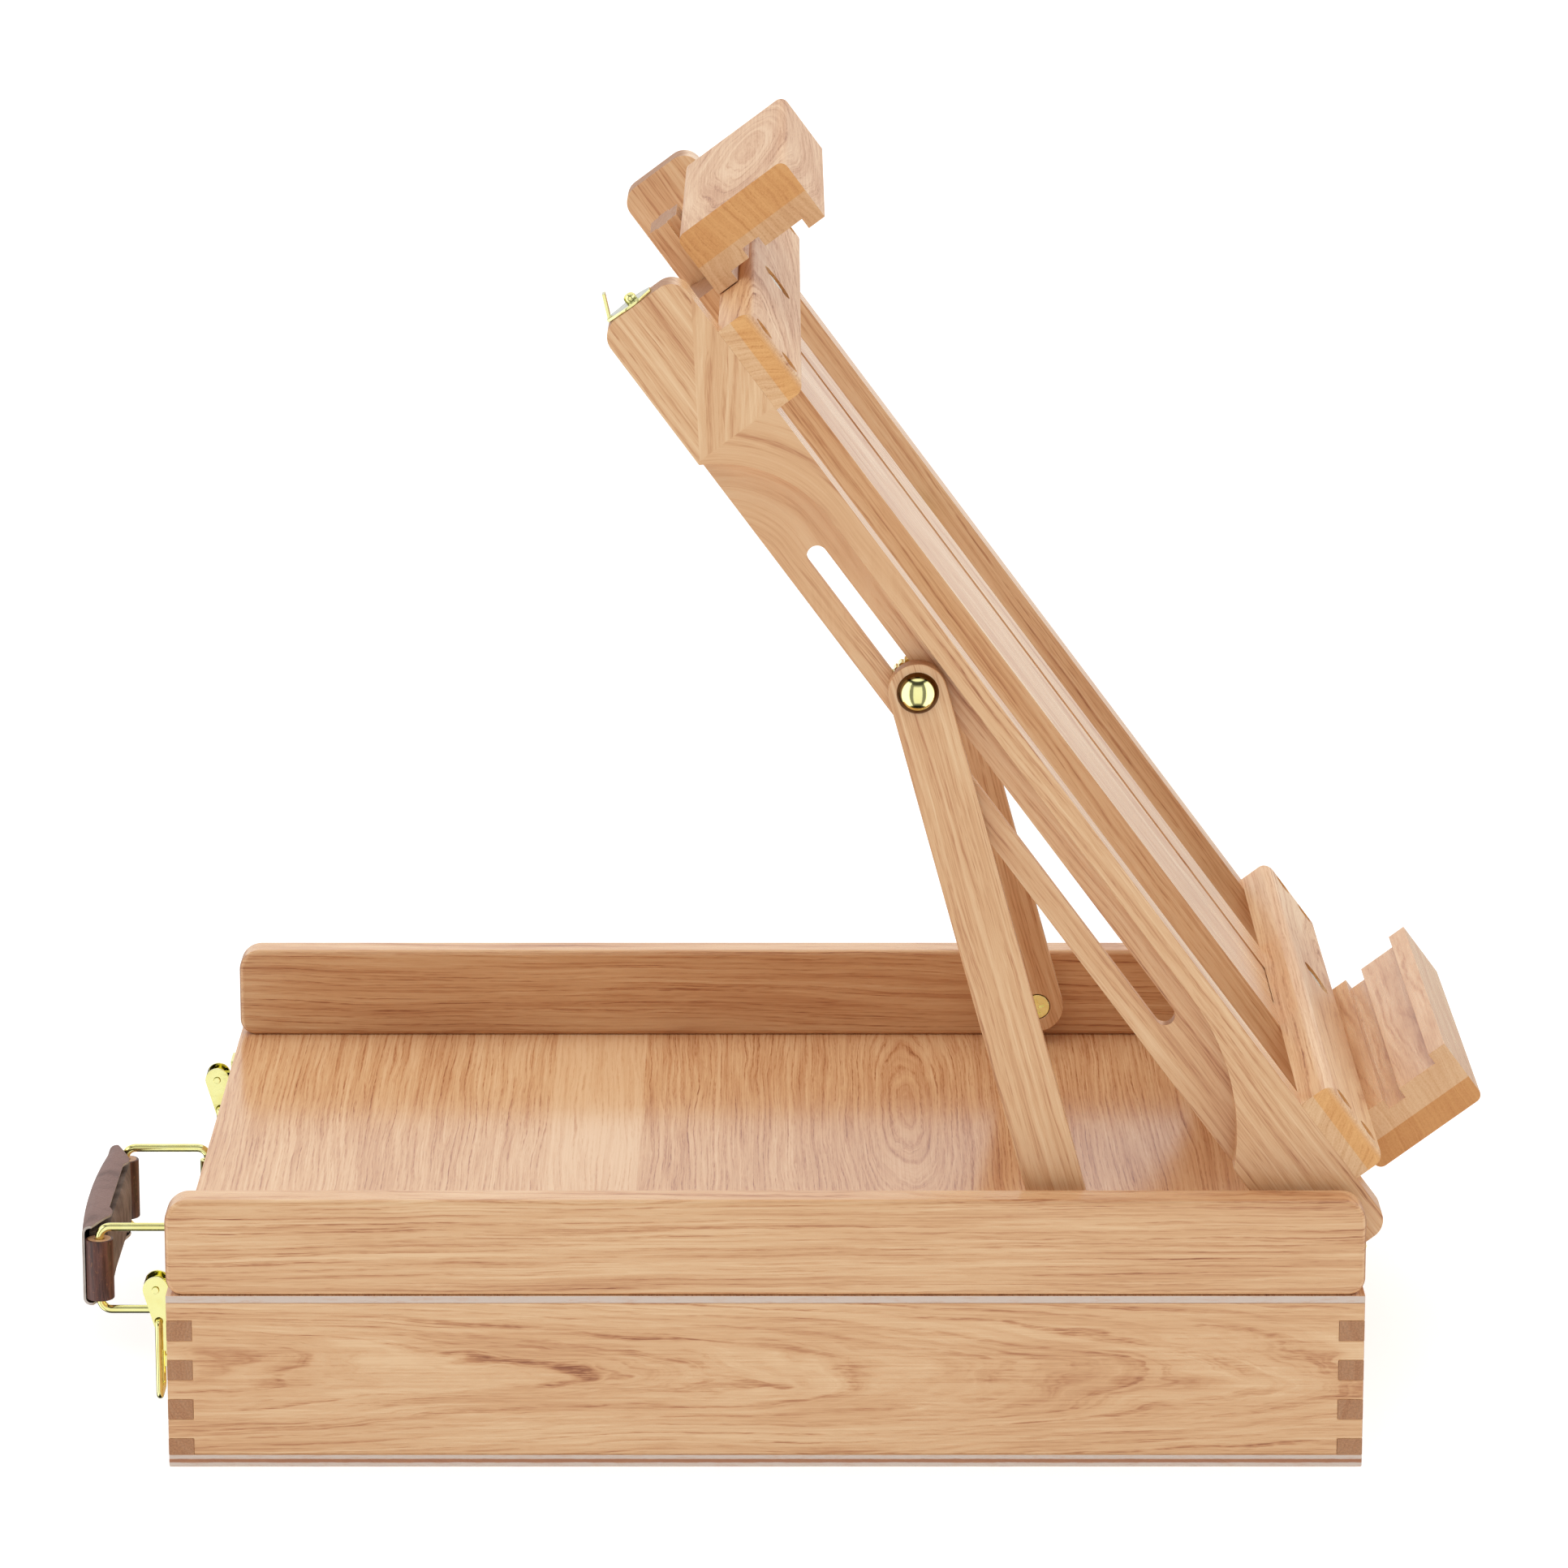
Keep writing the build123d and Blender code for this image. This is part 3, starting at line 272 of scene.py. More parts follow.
class Beech:
    """How one piece was sawn: its grain, where the log's heart lay, and its own markings.

    turn carries local X onto the grain; heart is (side, up) from the middle of the piece, end_heart the
    same as the end faces show it, lean how fast the heart drifts along the piece, and bow how fast the
    years close in along it, which draws ovals. ring is the width of a year; rings, lines, pores and cloud
    say how strongly each marking shows, end how much of the end grain's own colour does, tint_and_shade
    how much darker the whole piece is, which on the far cheek is painted shade, and dull how matt. layers
    are the veneers of a plywood edge. band is (axis, from, to, colour) of a lamella that shows on the
    ends, with its places from the middle. The middle is taken from the piece's box.
    """

    def __init__(self, turn=ALONG_X, heart=(-60, 10), lean=(0.05, 0.0), end_heart=None, bow=0.0,
                 ring=2.4, rings=0.5, lines=0.42, pores=0.38, cloud=0.4, end=0.8, tint_and_shade=0.0, seed=0.0,
                 layers=None, dull=1.0, band=None):
        self.turn = turn
        self.middle = None
        self.heart = heart
        self.end_heart = end_heart
        self.lean = lean
        self.bow = bow
        self.ring = ring
        self.rings = rings
        self.lines = lines
        self.pores = pores
        self.cloud = cloud
        self.end = end
        self.tint_and_shade = tint_and_shade
        self.seed = seed
        self.layers = layers
        self.dull = dull
        self.band = band

    def markings(self, finish, seed=None, place=None, aside=0.0, deeper=0.0, bow=None):
        """Darkness of the wood, from 0 at pale early wood to 1 in a pore, and its relief."""
        along, side, up = place or self.axes(finish)
        shift = self.seed if seed is None else seed
        place = finish.point(along + shift, side + shift * 0.37, up - shift * 0.61)

        sway = finish.noise(finish.stretched(place, (5, 24, 24)), detail=2) - 0.5
        ripple = finish.noise(finish.stretched(place, (16, 80, 80)), detail=3, rough=0.6) - 0.5
        heart_along = along * (self.bow if bow is None else bow)
        if self.end_heart:
            end = self.end_grain(finish)
            aside = end * (self.end_heart[0] - self.heart[0]) * MM + aside
            deeper = end * (self.heart[1] - self.end_heart[1]) * MM + deeper
        heart_side = side - self.heart[0] * MM - aside - along * self.lean[0] + sway * 0.012
        heart_up = up - self.heart[1] * MM - along * self.lean[1] + deeper + sway * 0.009
        squared = heart_side * heart_side + heart_up * heart_up + heart_along * heart_along
        radius = squared ** 0.5 + ripple * 0.0035
        season = (radius / (self.ring * MM) + shift).math("FRACT")
        rim = season.step(0.6, 0.88) * season.step(0.94, 1.0, 1.0, 0.0)

        ring_place = finish.point(along + shift, radius + shift, shift)
        streak = finish.noise(finish.stretched(ring_place, (8, 380, 1)), detail=6, rough=0.72)
        vein = finish.noise(finish.stretched(ring_place, (6, 1300, 1)), detail=3, rough=0.7)
        vein = vein.step(0.50, 0.68)
        broken = finish.noise(finish.stretched(place, (18, 190, 190)), detail=4, rough=0.75)
        broken = broken.step(0.38, 0.58)
        dotted = finish.noise(finish.stretched(place, (170, 1700, 1700)), detail=2).step(0.3, 0.62)
        fibre = finish.noise(finish.stretched(place, (16, 1700, 1700)), detail=4, rough=0.75)
        broad = finish.noise(finish.stretched(place, (5, 45, 45)), detail=3, rough=0.6)
        pore = finish.noise(finish.stretched(place, (110, 2600, 2600)), detail=1).step(0.60, 0.74)

        darkness = (
            streak.step(0.3, 0.72) * 0.42
            + rim * (0.15 + broken * 0.85) * (0.3 + dotted * 0.7) * self.rings * 0.5
            + vein * (0.3 + broken * 0.7) * (0.35 + dotted * 0.65) * self.lines
            + broad.step(0.3, 0.75) * self.cloud * 0.3
            + fibre.step(0.28, 0.75) * 0.30
            + pore * (0.3 + streak) * self.pores * 0.5
            - 0.15
        )
        return darkness, fibre * 0.6 - pore * 0.5 - rim * 0.15

    def axes(self, finish):
        """Places along the grain, across it and up, from the middle of the piece."""
        middle = [part * MM for part in self.middle]
        return finish.axes(finish.place(self.turn, middle))

    def end_grain(self, finish):
        """How squarely a face cuts across the fibres."""
        grain = Euler(self.turn).to_matrix() @ Vector((1, 0, 0))
        return finish.facing(grain).math("ABSOLUTE").step(0.6, 0.95)

    def finished(self, name, markings=None):
        """The oiled wood as a material; markings may be a piece's own in place of the usual ones."""
        finish = Finish(name, roughness=0.3)
        darkness, relief = markings(self, finish) if markings else self.markings(finish)
        end = self.end_grain(finish)
        if self.band:
            darkness = darkness * (1 - end * 0.35)
        stops = [(0.0, WOOD_PALE), (0.3, WOOD_MID), (0.62, WOOD_LINE), (1.0, WOOD_DEEP)]
        # The piece's overall darkening is added here; on the far cheek it is painted shade.
        colour = finish.ramp(darkness + self.tint_and_shade, stops)
        speckle = finish.noise(finish.place(), 1500, detail=2).step(0.35, 0.7)
        cut = finish.mix(speckle * 0.5, END_GRAIN, WOOD_LINE)
        colour = finish.mix(end * self.end, colour, cut)
        if self.band:
            axis, low, high, stain = self.band
            inside = between(self.axes(finish)[axis] / MM, low, high, 0.15)
            colour = finish.mix(end * inside, colour, stain, "MULTIPLY")
        if self.layers:
            colour = self.ply_edges(finish, colour)
        finish.colour(colour)
        finish.roughness((0.25 + darkness * 0.12 + end * 0.25) * self.dull)
        finish.bump(relief, 0.015, 0.0003)
        return finish.material

    def ply_edges(self, finish, colour):
        """The sawn edges of a board of veneers: layers are (height of its foot, tone), upwards."""
        facing = finish.axes(finish.add("ShaderNodeTexCoord", output=1))
        edge = 1 - facing[2].math("ABSOLUTE").step(0.4, 0.8)
        height = finish.axes(finish.place())[2] / MM
        mottle = finish.noise(finish.stretched(finish.place(), (160, 160, 900)), detail=4, rough=0.7)
        height = height + (mottle - 0.5) * 0.5
        layered = self.layers[0][1]
        for foot, layer in self.layers[1:]:
            layered = finish.mix(height.step(foot - 0.08, foot + 0.08), layered, layer)
        stain = mottle.step(0.45, 0.8) * 0.4
        return finish.mix(edge, colour, finish.mix(stain, layered, WOOD_LINE))


def lid_boards(sawn, finish):
    """The lid is veneered in boards of different width and tone; one is cut through its heart."""
    x = finish.axes(finish.place())[0] / MM
    along, side, up = sawn.axes(finish)
    board = shade = before = 0.0
    for seam, darker in LID_SEAMS:
        past = x.math("GREATER_THAN", seam)
        board = past + board
        shade = past * (darker - before) + shade
        before = darker
    heart_board = x.math("GREATER_THAN", HEART_SEAMS[0]) * (1 - x.math("GREATER_THAN", HEART_SEAMS[1]))
    aside = (1 - heart_board) * (x.math("GREATER_THAN", 40) * 0.23 - 0.12)
    place = (along - heart_board * 0.065, side, up)
    deeper = (1 - heart_board) * 0.03
    seed = board * 0.317 + sawn.seed
    bow = heart_board * 0.11
    darkness, relief = sawn.markings(finish, seed, place, aside, deeper, bow)
    pale = shade.step(-0.14, -0.06, 0.5, 1.0)
    return darkness * pale + shade, relief


def block_of_three(sawn, finish):
    """The left board's top block is glued up: plain, then slanting, then following the routed curve."""
    x, _, z = finish.axes(finish.place(ALONG_BOARD, EASEL_PIVOT))
    side = finish.axes(finish.place())[1]
    x = x / MM + PIVOT_X
    z = z / MM + PIVOT_Z
    plain, plain_relief = sawn.markings(finish)

    run = x - GLUE_START[0]
    rise = z - GLUE_START[1]
    over = run * math.sin(-GLUE_SLOPE) + rise * math.cos(GLUE_SLOPE)
    down = run * math.cos(GLUE_SLOPE) + rise * math.sin(GLUE_SLOPE)
    slanting, _ = sawn.markings(finish, seed=31.0, place=(down * MM, side, over * MM))

    beyond = x - CURVE_CENTRE[0]
    above = z - CURVE_CENTRE[1]
    on_arc = 1 - beyond.math("GREATER_THAN", 0)
    outward = on_arc * (beyond * beyond + above * above) ** 0.5 + (1 - on_arc) * above
    follow = x * 0.6 + z * 0.2
    curved, _ = sawn.markings(finish, seed=47.0, place=(follow * MM, side, outward * MM))

    past_glue = over.step(-0.2, 0.2)
    past_start = (x - GLUE_START[0]).step(-0.6, -0.2)
    in_block = 1 - x.step(*GLUED_UNTIL)
    darkness = plain + (slanting * 0.8 - plain) * past_glue * in_block
    darkness = darkness + (curved * 0.6 + 0.08 - darkness) * past_start * past_glue * in_block
    return darkness, plain_relief


# ---------------------------------------------------------------- pieces from the frame


def alone(piece):
    """Selects this piece and no other."""
    bpy.ops.object.select_all(action="DESELECT")
    piece.select_set(True)
    bpy.context.view_layer.objects.active = piece


def body_of(node):
    """The body that a node rides on."""
    bodies = frame["record"]["behaviour"]["bodies"]
    return next(body for body, nodes in bodies.items() if node in nodes)


def slot_of(node):
    """The material slot of a node."""
    subparts = frame["record"]["subparts"]
    return next(part["material_slot"] for part in subparts if part["node"] == node)


def dressed(node, material, edge=0.5, smooth=35):
    """A copy of a frame piece with its edges eased, standing for that piece; edge is in mm."""
    source = frame["nodes"][node]
    piece = source.copy()
    piece.data = source.data.copy()
    piece.name = node + "_finished"
    bpy.context.scene.collection.objects.link(piece)
    alone(piece)
    bpy.ops.object.mode_set(mode="EDIT")
    bpy.ops.mesh.select_all(action="SELECT")
    bpy.ops.mesh.remove_doubles(threshold=0.00001)
    bpy.ops.mesh.dissolve_limited(angle_limit=math.radians(0.5))
    bpy.ops.object.mode_set(mode="OBJECT")
    if edge:
        bevel = piece.modifiers.new("eased edges", "BEVEL")
        bevel.width = edge * MM
        bevel.segments = 3
        bevel.limit_method = "ANGLE"
        bevel.angle_limit = math.radians(40)
        bevel.harden_normals = False
        bpy.ops.object.modifier_apply(modifier=bevel.name)
    bpy.ops.object.shade_smooth_by_angle(angle=math.radians(smooth))
    flatten = piece.modifiers.new("flat faces stay flat", "WEIGHTED_NORMAL")
    flatten.keep_sharp = True
    flatten.weight = 80
    bpy.ops.object.modifier_apply(modifier=flatten.name)
    piece.data.materials.clear()
    piece.data.materials.append(material)
    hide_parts(node)
    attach(piece, body_of(node))
    slot_of(node)
    return piece


# ---------------------------------------------------------------- brass, steel and leather


BRASS_BRIGHT = (252, 248, 174)
BRASS_DEEP = (248, 240, 158)
# The brown is painted shade: the shaded wood mirrored in the rim of a domed head.
BRASS_PAINTED_SHADE = (98, 68, 32)
BRASS_ROUGHNESS = 0.10


def polished(name, bright, deep, roughness, rim=None):
    """Polished plated metal with faint rubbing marks; rim is (middle, radius) of an edge darkened to
    brown as painted shade, standing for the shaded wood that it mirrors.
    """
    finish = Finish(name, roughness=roughness, metallic=1.0)
    place = finish.place()
    cloud = finish.noise(place, 140, detail=3)
    rub = finish.noise(finish.stretched(place, (300, 2600, 900)), detail=3, rough=0.6)
    colour = finish.mix(cloud.step(0.35, 0.7), tone(*bright), tone(*deep))
    if rim:
        across, _, up = finish.axes(finish.place(centre=rim[0]))
        out = (across * across + up * up) ** 0.5 / rim[1]
        # Painted shade: the outer rim of the head turns brown, as if it mirrored shaded wood.
        colour = finish.mix(out.step(0.74, 0.80), colour, tone(*BRASS_PAINTED_SHADE))
    finish.colour(colour)
    finish.roughness(roughness + rub.step(0.5, 0.8) * 0.1)
    finish.bump(rub, 0.04, 0.0002)
    return finish.material


def hide(name, pale, dark):
    """Smooth leather with a fine crossing grain."""
    finish = Finish(name, roughness=0.5)
    place = finish.place()
    settings = {"feature": "DISTANCE_TO_EDGE"}
    pebble = finish.add("ShaderNodeTexVoronoi", settings, {"Vector": place, "Scale": 900})
    crease = finish.noise(finish.stretched(place, (900, 2600, 900)), detail=4, rough=0.6)
    cloud = finish.noise(place, 90, detail=4)
    colour = finish.mix(cloud.step(0.1, 0.6), tone(*dark), tone(*pale))
    colour = finish.mix(crease.step(0.45, 0.75) * 0.4, colour, tone(*dark))
    finish.colour(colour)
    finish.roughness(0.42 + crease * 0.25)
    finish.bump(pebble.step(0.0, 0.25) + crease * 0.6, 0.35, 0.0003)
    return finish.material


def brass_with_painted_reflection(name, facing):
    """Brass whose broad face, towards facing, is painted grey: a painted reflection of the white studio.
    """
    finish = Finish(name, roughness=0.2, metallic=1.0)
    toward = finish.facing(facing)
    cloud = finish.noise(finish.place(), 300, detail=3)
    grey = finish.mix(cloud.step(0.3, 0.7), tone(200, 202, 190), tone(178, 180, 166))
    # Painted reflection: the face towards facing is grey in place of brass.
    finish.colour(finish.mix(toward.step(0.85, 0.97), tone(*BRASS_BRIGHT), grey))
    finish.roughness(0.18 + cloud * 0.12)
    return finish.material


# ---------------------------------------------------------------- the wooden pieces


# How each piece was sawn.
SAWN = {
    "side_wall_left": Beech(heart=(26, 2), lean=(0.045, 0.004), ring=2.3, rings=0.6, seed=1.3),
    "side_wall_right": Beech(heart=(-40, 5), lean=(0.04, 0.0), seed=2.9),
    "end_wall_front": Beech(ALONG_Y, heart=(40, 4), lean=(0.04, 0), seed=3.7),
    "end_wall_back": Beech(ALONG_Y, heart=(-40, 14), lean=(0.03, 0), seed=5.1),
    "divider_long": Beech(heart=(30, 60), seed=6.3),
    "dividers_short": Beech(ALONG_Y, heart=(40, 50), seed=7.9),
    "bottom_panel": Beech(heart=(20, -60), lean=(0.1, 0), end=0, seed=8.5,
                          layers=[(0, PLY_PALE), (1.6, PLY_BROWN), (2.9, PLY_PALE)]),
    "lid_panel": Beech(ALONG_Y, heart=(-53, -6), lean=(0.01, 0.0), ring=2.2, rings=0.7, lines=0.4,
                       tint_and_shade=0.03, end=0, seed=9.2, dull=0.6, layers=[(59, PLY_PALE)]),
    "cheek_left": Beech(heart=(40, -120), lean=(0.0, 0.012), rings=0.5, seed=10.4),
    # The far cheek's darkening is painted shade: the whole piece is darker to stand for the shade on its
    # inner face.
    "cheek_right": Beech(heart=(-30, -90), lean=(0.0, -0.015), rings=0.5, tint_and_shade=0.08, seed=11.8),
    "frame_side_left": Beech(ALONG_BOARD, heart=(50, 110), lean=(0, 0.01), rings=0.55, seed=12.1),
    "frame_side_right": Beech(ALONG_BOARD, heart=(-50, 90), lean=(0, -0.01), seed=13.6),
    "crossbar_top": Beech(ACROSS_BOARD, heart=(12, 30), lean=(0.02, 0.06), end_heart=(90, 50), ring=2.6,
                          end=0.0, seed=14.4, dull=1.5, tint_and_shade=0.06, band=(2, 0, 9, STAIN_GOLD)),
    "crossbar_bottom": Beech(ACROSS_BOARD, heart=(-14, 32), lean=(0.03, 0.04), end_heart=(-90, 60),
                             ring=2.6, end=0.0, seed=15.2, dull=1.4, band=(2, 0, 9, STAIN_GOLD)),
    "mast_guide_left": Beech(ALONG_BOARD, heart=(-30, 70), seed=16.7),
    "mast_guide_right": Beech(ALONG_BOARD, heart=(30, 70), seed=17.3),
    "mast_slider": Beech(ALONG_BOARD, heart=(10, 90), rings=0.3, seed=18.8),
    "canvas_clamp": Beech(ACROSS_BOARD, heart=(34, 6), lean=(0.0, 0.02), bow=0.25, end_heart=(20, 170),
                          ring=2.4, rings=0.4, end=0.0, seed=19.1, dull=1.5, tint_and_shade=0.08,
                          band=(1, 0, 30, STAIN_LIGHT)),
    "canvas_tray": Beech(ACROSS_BOARD, heart=(-150, 60), lean=(0.02, 0), end_heart=(20, -260), ring=2.4,
                         rings=0.3, lines=0.3, end=0.0, seed=20.5, band=(1, -20, -3.6, STAIN_AMBER)),
    "support_arm_left": Beech(ALONG_ARM, heart=(30, -70), lean=(0, 0.012), seed=21.9),
    "support_arm_right": Beech(ALONG_ARM, heart=(-30, -80), lean=(0, 0.01), seed=22.2),
}
OWN_MARKINGS = {"lid_panel": lid_boards, "frame_side_left": block_of_three}

for node, sawn in SAWN.items():
    low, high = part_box(node)
    sawn.middle = (low + high) / 2 / MM
    dressed(node, sawn.finished(node + "_beech", OWN_MARKINGS.get(node)))


# ---------------------------------------------------------------- the padded grip


GRIP_MIDDLE = Vector((-240.5, 0, 32.7))

# The outer leather: its middle, half its length, how far its face stands out at the ends and how much
# more between them, half its height, how round its bends are, and the thickness of its wall.
SHELL_MIDDLE = Vector((-240.5, 0, 34))
SHELL_HALF = 50.5
SHELL_FACE = 5.6
SHELL_BULGE = 2.3
SHELL_RISE = 14.9
SHELL_BEND = 4.6
SHELL_WALL = 0.9

# How far its upper and lower lips reach towards the box, in the middle and at the ends.
LIP_MIDDLE = 2.0
LIP_ENDS = 3.6

# The stuffed strap: half its length, its thickness, half its height, and its lower and upper edge.
PAD_HALF = 43
PAD_DEPTH = 8.2
PAD_RISE = 13.5
PAD_FOOT = 20.9
PAD_TOP = 44.6

# The leather rolled round each ring: its place across and along the grip, its radius and height, how
# wide the leather and the cord core inside it show on its ends, and its eased edge.
TUBE_PLACE = (-240.0, 49.0)
TUBE_RADIUS = 5
TUBE_HEIGHT = 22.4
TUBE_LEATHER = 0.8
TUBE_CORE = 2.4
TUBE_EASE = 0.4


def suede(name, pale, dark):
    """The napped inner side of the leather."""
    finish = Finish(name, roughness=0.85)
    place = finish.place()
    nap = finish.noise(finish.stretched(place, (1800, 1800, 350)), detail=4, rough=0.7)
    cloud = finish.noise(place, 110, detail=4)
    colour = finish.mix(cloud.step(0.3, 0.7), tone(*dark), tone(*pale))
    colour = finish.mix(nap.step(0.4, 0.7) * 0.5, colour, tone(*dark))
    finish.colour(colour)
    finish.roughness(0.8 + nap * 0.15)
    finish.bump(nap, 0.5, 0.0004)
    return finish.material


def rolled(name):
    """Leather rolled round each ring: dark, with lighter vertical streaks of painted sheen, over a pale
    cord core.
    """
    finish = Finish(name, roughness=0.35)
    place = finish.place()
    x, y, _ = finish.axes(place)
    across = x - TUBE_PLACE[0] * MM
    side = y.math("ABSOLUTE") - TUBE_PLACE[1] * MM
    out = (across * across + side * side) ** 0.5 / MM
    streak = finish.noise(finish.stretched(place, (900, 900, 60)), detail=4, rough=0.7)
    fleck = finish.noise(finish.stretched(place, (1400, 1400, 700)), detail=2).step(0.62, 0.72)
    # Painted sheen: the lighter vertical streaks stand for highlights along the rolled leather.
    colour = finish.mix(streak.step(0.35, 0.7), tone(62, 34, 28), tone(112, 70, 60))
    colour = finish.mix(fleck * 0.5, colour, tone(150, 96, 62))
    colour = finish.mix(1 - out.step(4.1, 4.3), colour, tone(206, 158, 116))
    finish.colour(colour)
    finish.roughness(0.3 + streak * 0.2)
    finish.bump(streak, 0.3, 0.0003)
    return finish.material


def riding(piece, name, material):
    """Names a piece of the grip, lets it ride with the grip and gives it its leather."""
    piece.name = name
    piece.data.name = name
    piece.data.materials.append(material)
    alone(piece)
    bpy.ops.object.shade_smooth_by_angle(angle=math.radians(50))
    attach(piece, body_of("handle_grip"))
    slot_of("handle_grip")
    return piece


def soft_step(value, low, high):
    """A soft step from 0 to 1 as the value goes from low to high."""
    part = min(max((value - low) / (high - low), 0), 1)
    return part * part * (3 - 2 * part)


def channel(part, outer, lip, height, radius):
    """A point of a channel's outline, open towards +X, as part goes from -1 to 1 along it.

    outer is the place of its face, lip how far its two lips reach, height half its height and radius
    how round its bends are. The lips droop a little towards their edges.
    """
    flat = lip - outer - radius
    bend = radius * math.pi / 2
    face = height - radius
    way = abs(part) * (flat + bend + face)
    if way < face:
        across, up = outer, way
    elif way < face + bend:
        turn = (way - face) / radius
        across, up = outer + radius * (1 - math.cos(turn)), face + radius * math.sin(turn)
    else:
        droop = (way - face - bend) ** 2 * 0.02
        across, up = outer + radius + way - face - bend, height - droop
    return across, math.copysign(up, part)


def grip_shell():
    """The outer leather: a long shell that arches over the strap and is open towards the box.

    Its lips are cut back beside the rings, so that the wires swing clear of them.
    """
    bpy.ops.object.select_all(action="DESELECT")
    bpy.ops.mesh.primitive_grid_add(x_subdivisions=72, y_subdivisions=40, size=1)
    shell = bpy.context.object
    for vertex in shell.data.vertices:
        along = vertex.co.x * 2
        away = abs(along)
        bulge = 1 - along * along
        outer = -SHELL_FACE - SHELL_BULGE * bulge
        lip = LIP_MIDDLE + (LIP_ENDS - LIP_MIDDLE) * soft_step(away, 0.5, 0.62)
        short_of_ring = TUBE_PLACE[1] - away * SHELL_HALF
        lip = min(lip, 0.36 * short_of_ring - 1.6)
        height = SHELL_RISE + 0.4 * bulge
        radius = min(SHELL_BEND, (lip - outer) * 0.8)
        across, up = channel(vertex.co.y * 2, outer, lip, height, radius)
        vertex.co = (SHELL_MIDDLE + Vector((across, along * SHELL_HALF, up))) * MM
    alone(shell)
    bpy.ops.object.mode_set(mode="EDIT")
    bpy.ops.mesh.select_all(action="SELECT")
    bpy.ops.mesh.normals_make_consistent(inside=False)
    bpy.ops.object.mode_set(mode="OBJECT")
    middle_face = shell.data.polygons[len(shell.data.polygons) // 2]
    if middle_face.normal.x > 0:
        shell.data.flip_normals()
    leather = hide("brown_leather", (138, 106, 97), (92, 63, 55))
    riding(shell, "handle_grip_shell", leather)
    cut = suede("cut_leather_edge", (212, 206, 200), (176, 166, 158))
    inner = suede("leather_inside", (52, 40, 36), (30, 22, 20))
    shell.data.materials.append(cut)
    shell.data.materials.append(inner)
    wall = shell.modifiers.new("leather thickness", "SOLIDIFY")
    wall.thickness = SHELL_WALL * MM
    wall.offset = -1
    wall.material_offset_rim = 1
    wall.material_offset = 2
    bpy.ops.object.modifier_apply(modifier=wall.name)
    bpy.ops.object.shade_smooth_by_angle(angle=math.radians(50))
    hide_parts("handle_grip")


def grip_pad():
    """The stuffed strap inside the shell, with the rough side of its leather showing."""
    bpy.ops.object.select_all(action="DESELECT")
    bpy.ops.mesh.primitive_cube_add(size=1)
    pad = bpy.context.object
    pad.scale = (PAD_DEPTH * MM, 2 * PAD_HALF * MM, 2 * PAD_RISE * MM)
    bpy.ops.object.transform_apply(location=True, rotation=True, scale=True)
    bpy.ops.object.mode_set(mode="EDIT")
    bpy.ops.mesh.subdivide(number_cuts=26)
    bpy.ops.object.mode_set(mode="OBJECT")
    for vertex in pad.data.vertices:
        along = vertex.co.y / (PAD_HALF * MM)
        up = vertex.co.z / (PAD_RISE * MM)
        crown = (1 - along ** 4) * (1 - up ** 4)
        wave = 0.25 * math.sin(along * 23) * math.cos(up * 4) * crown
        middle = 1 - soft_step(abs(along), 0.58, 0.7)
        foot = PAD_FOOT + 2.7 * middle
        z = foot + (up + 1) / 2 * (PAD_TOP - foot)
        inward = 0.9 if vertex.co.x > 0 else -0.1
        x = vertex.co.x / MM * (0.8 + 0.2 * crown) + inward * crown + wave
        vertex.co = Vector((GRIP_MIDDLE.x + x - 0.4, along * PAD_HALF, z)) * MM
    riding(pad, "handle_grip_pad", suede("grey_suede", (150, 132, 120), (104, 86, 76)))


def grip_roll(side, material):
    """The leather rolled round one ring, with its cord core, the wire's hole and eased edges."""
    x = TUBE_PLACE[0] * MM
    y = TUBE_PLACE[1] * side * MM
    bpy.ops.object.select_all(action="DESELECT")
    bpy.ops.mesh.primitive_cylinder_add(vertices=64, radius=TUBE_RADIUS * MM, depth=TUBE_HEIGHT * MM,
                                        location=(x, y, GRIP_MIDDLE.z * MM))
    roll = bpy.context.object
    bpy.ops.object.transform_apply(location=True, rotation=True, scale=True)
    bpy.ops.object.mode_set(mode="EDIT")
    bpy.ops.mesh.select_mode(type="FACE")
    bpy.ops.object.mode_set(mode="OBJECT")
    for face in roll.data.polygons:
        face.select = len(face.vertices) > 4
    bpy.ops.object.mode_set(mode="EDIT")
    bpy.ops.mesh.inset(thickness=TUBE_LEATHER * MM, use_individual=True)
    bpy.ops.mesh.inset(thickness=TUBE_CORE * MM, use_individual=True)
    bpy.ops.mesh.bridge_edge_loops()
    bpy.ops.mesh.select_mode(type="EDGE")
    bpy.ops.object.mode_set(mode="OBJECT")
    for edge in roll.data.edges:
        start, end = (roll.data.vertices[index].co for index in edge.vertices)
        level = abs(start.z - end.z) < 0.01 * MM
        out = min(math.hypot(point.x - x, point.y - y) for point in (start, end))
        edge.select = level and out > (TUBE_RADIUS - 0.1) * MM
    bpy.ops.object.mode_set(mode="EDIT")
    # Bridging has left the wall of the wire's hole selected, so its edges are eased as well.
    bpy.ops.mesh.bevel(offset=TUBE_EASE * MM, segments=3, affect="EDGES")
    bpy.ops.object.mode_set(mode="OBJECT")
    riding(roll, "handle_grip_roll_left" if side < 0 else "handle_grip_roll_right", material)


grip_shell()
grip_pad()
roll_leather = rolled("rolled_leather")
for roll_side in (-1, 1):
    grip_roll(roll_side, roll_leather)


# ---------------------------------------------------------------- the fittings


brass = polished("polished_brass", BRASS_BRIGHT, BRASS_DEEP, BRASS_ROUGHNESS)
steel = polished("zinc_plated_steel", (222, 221, 206), (200, 198, 182), 0.22)


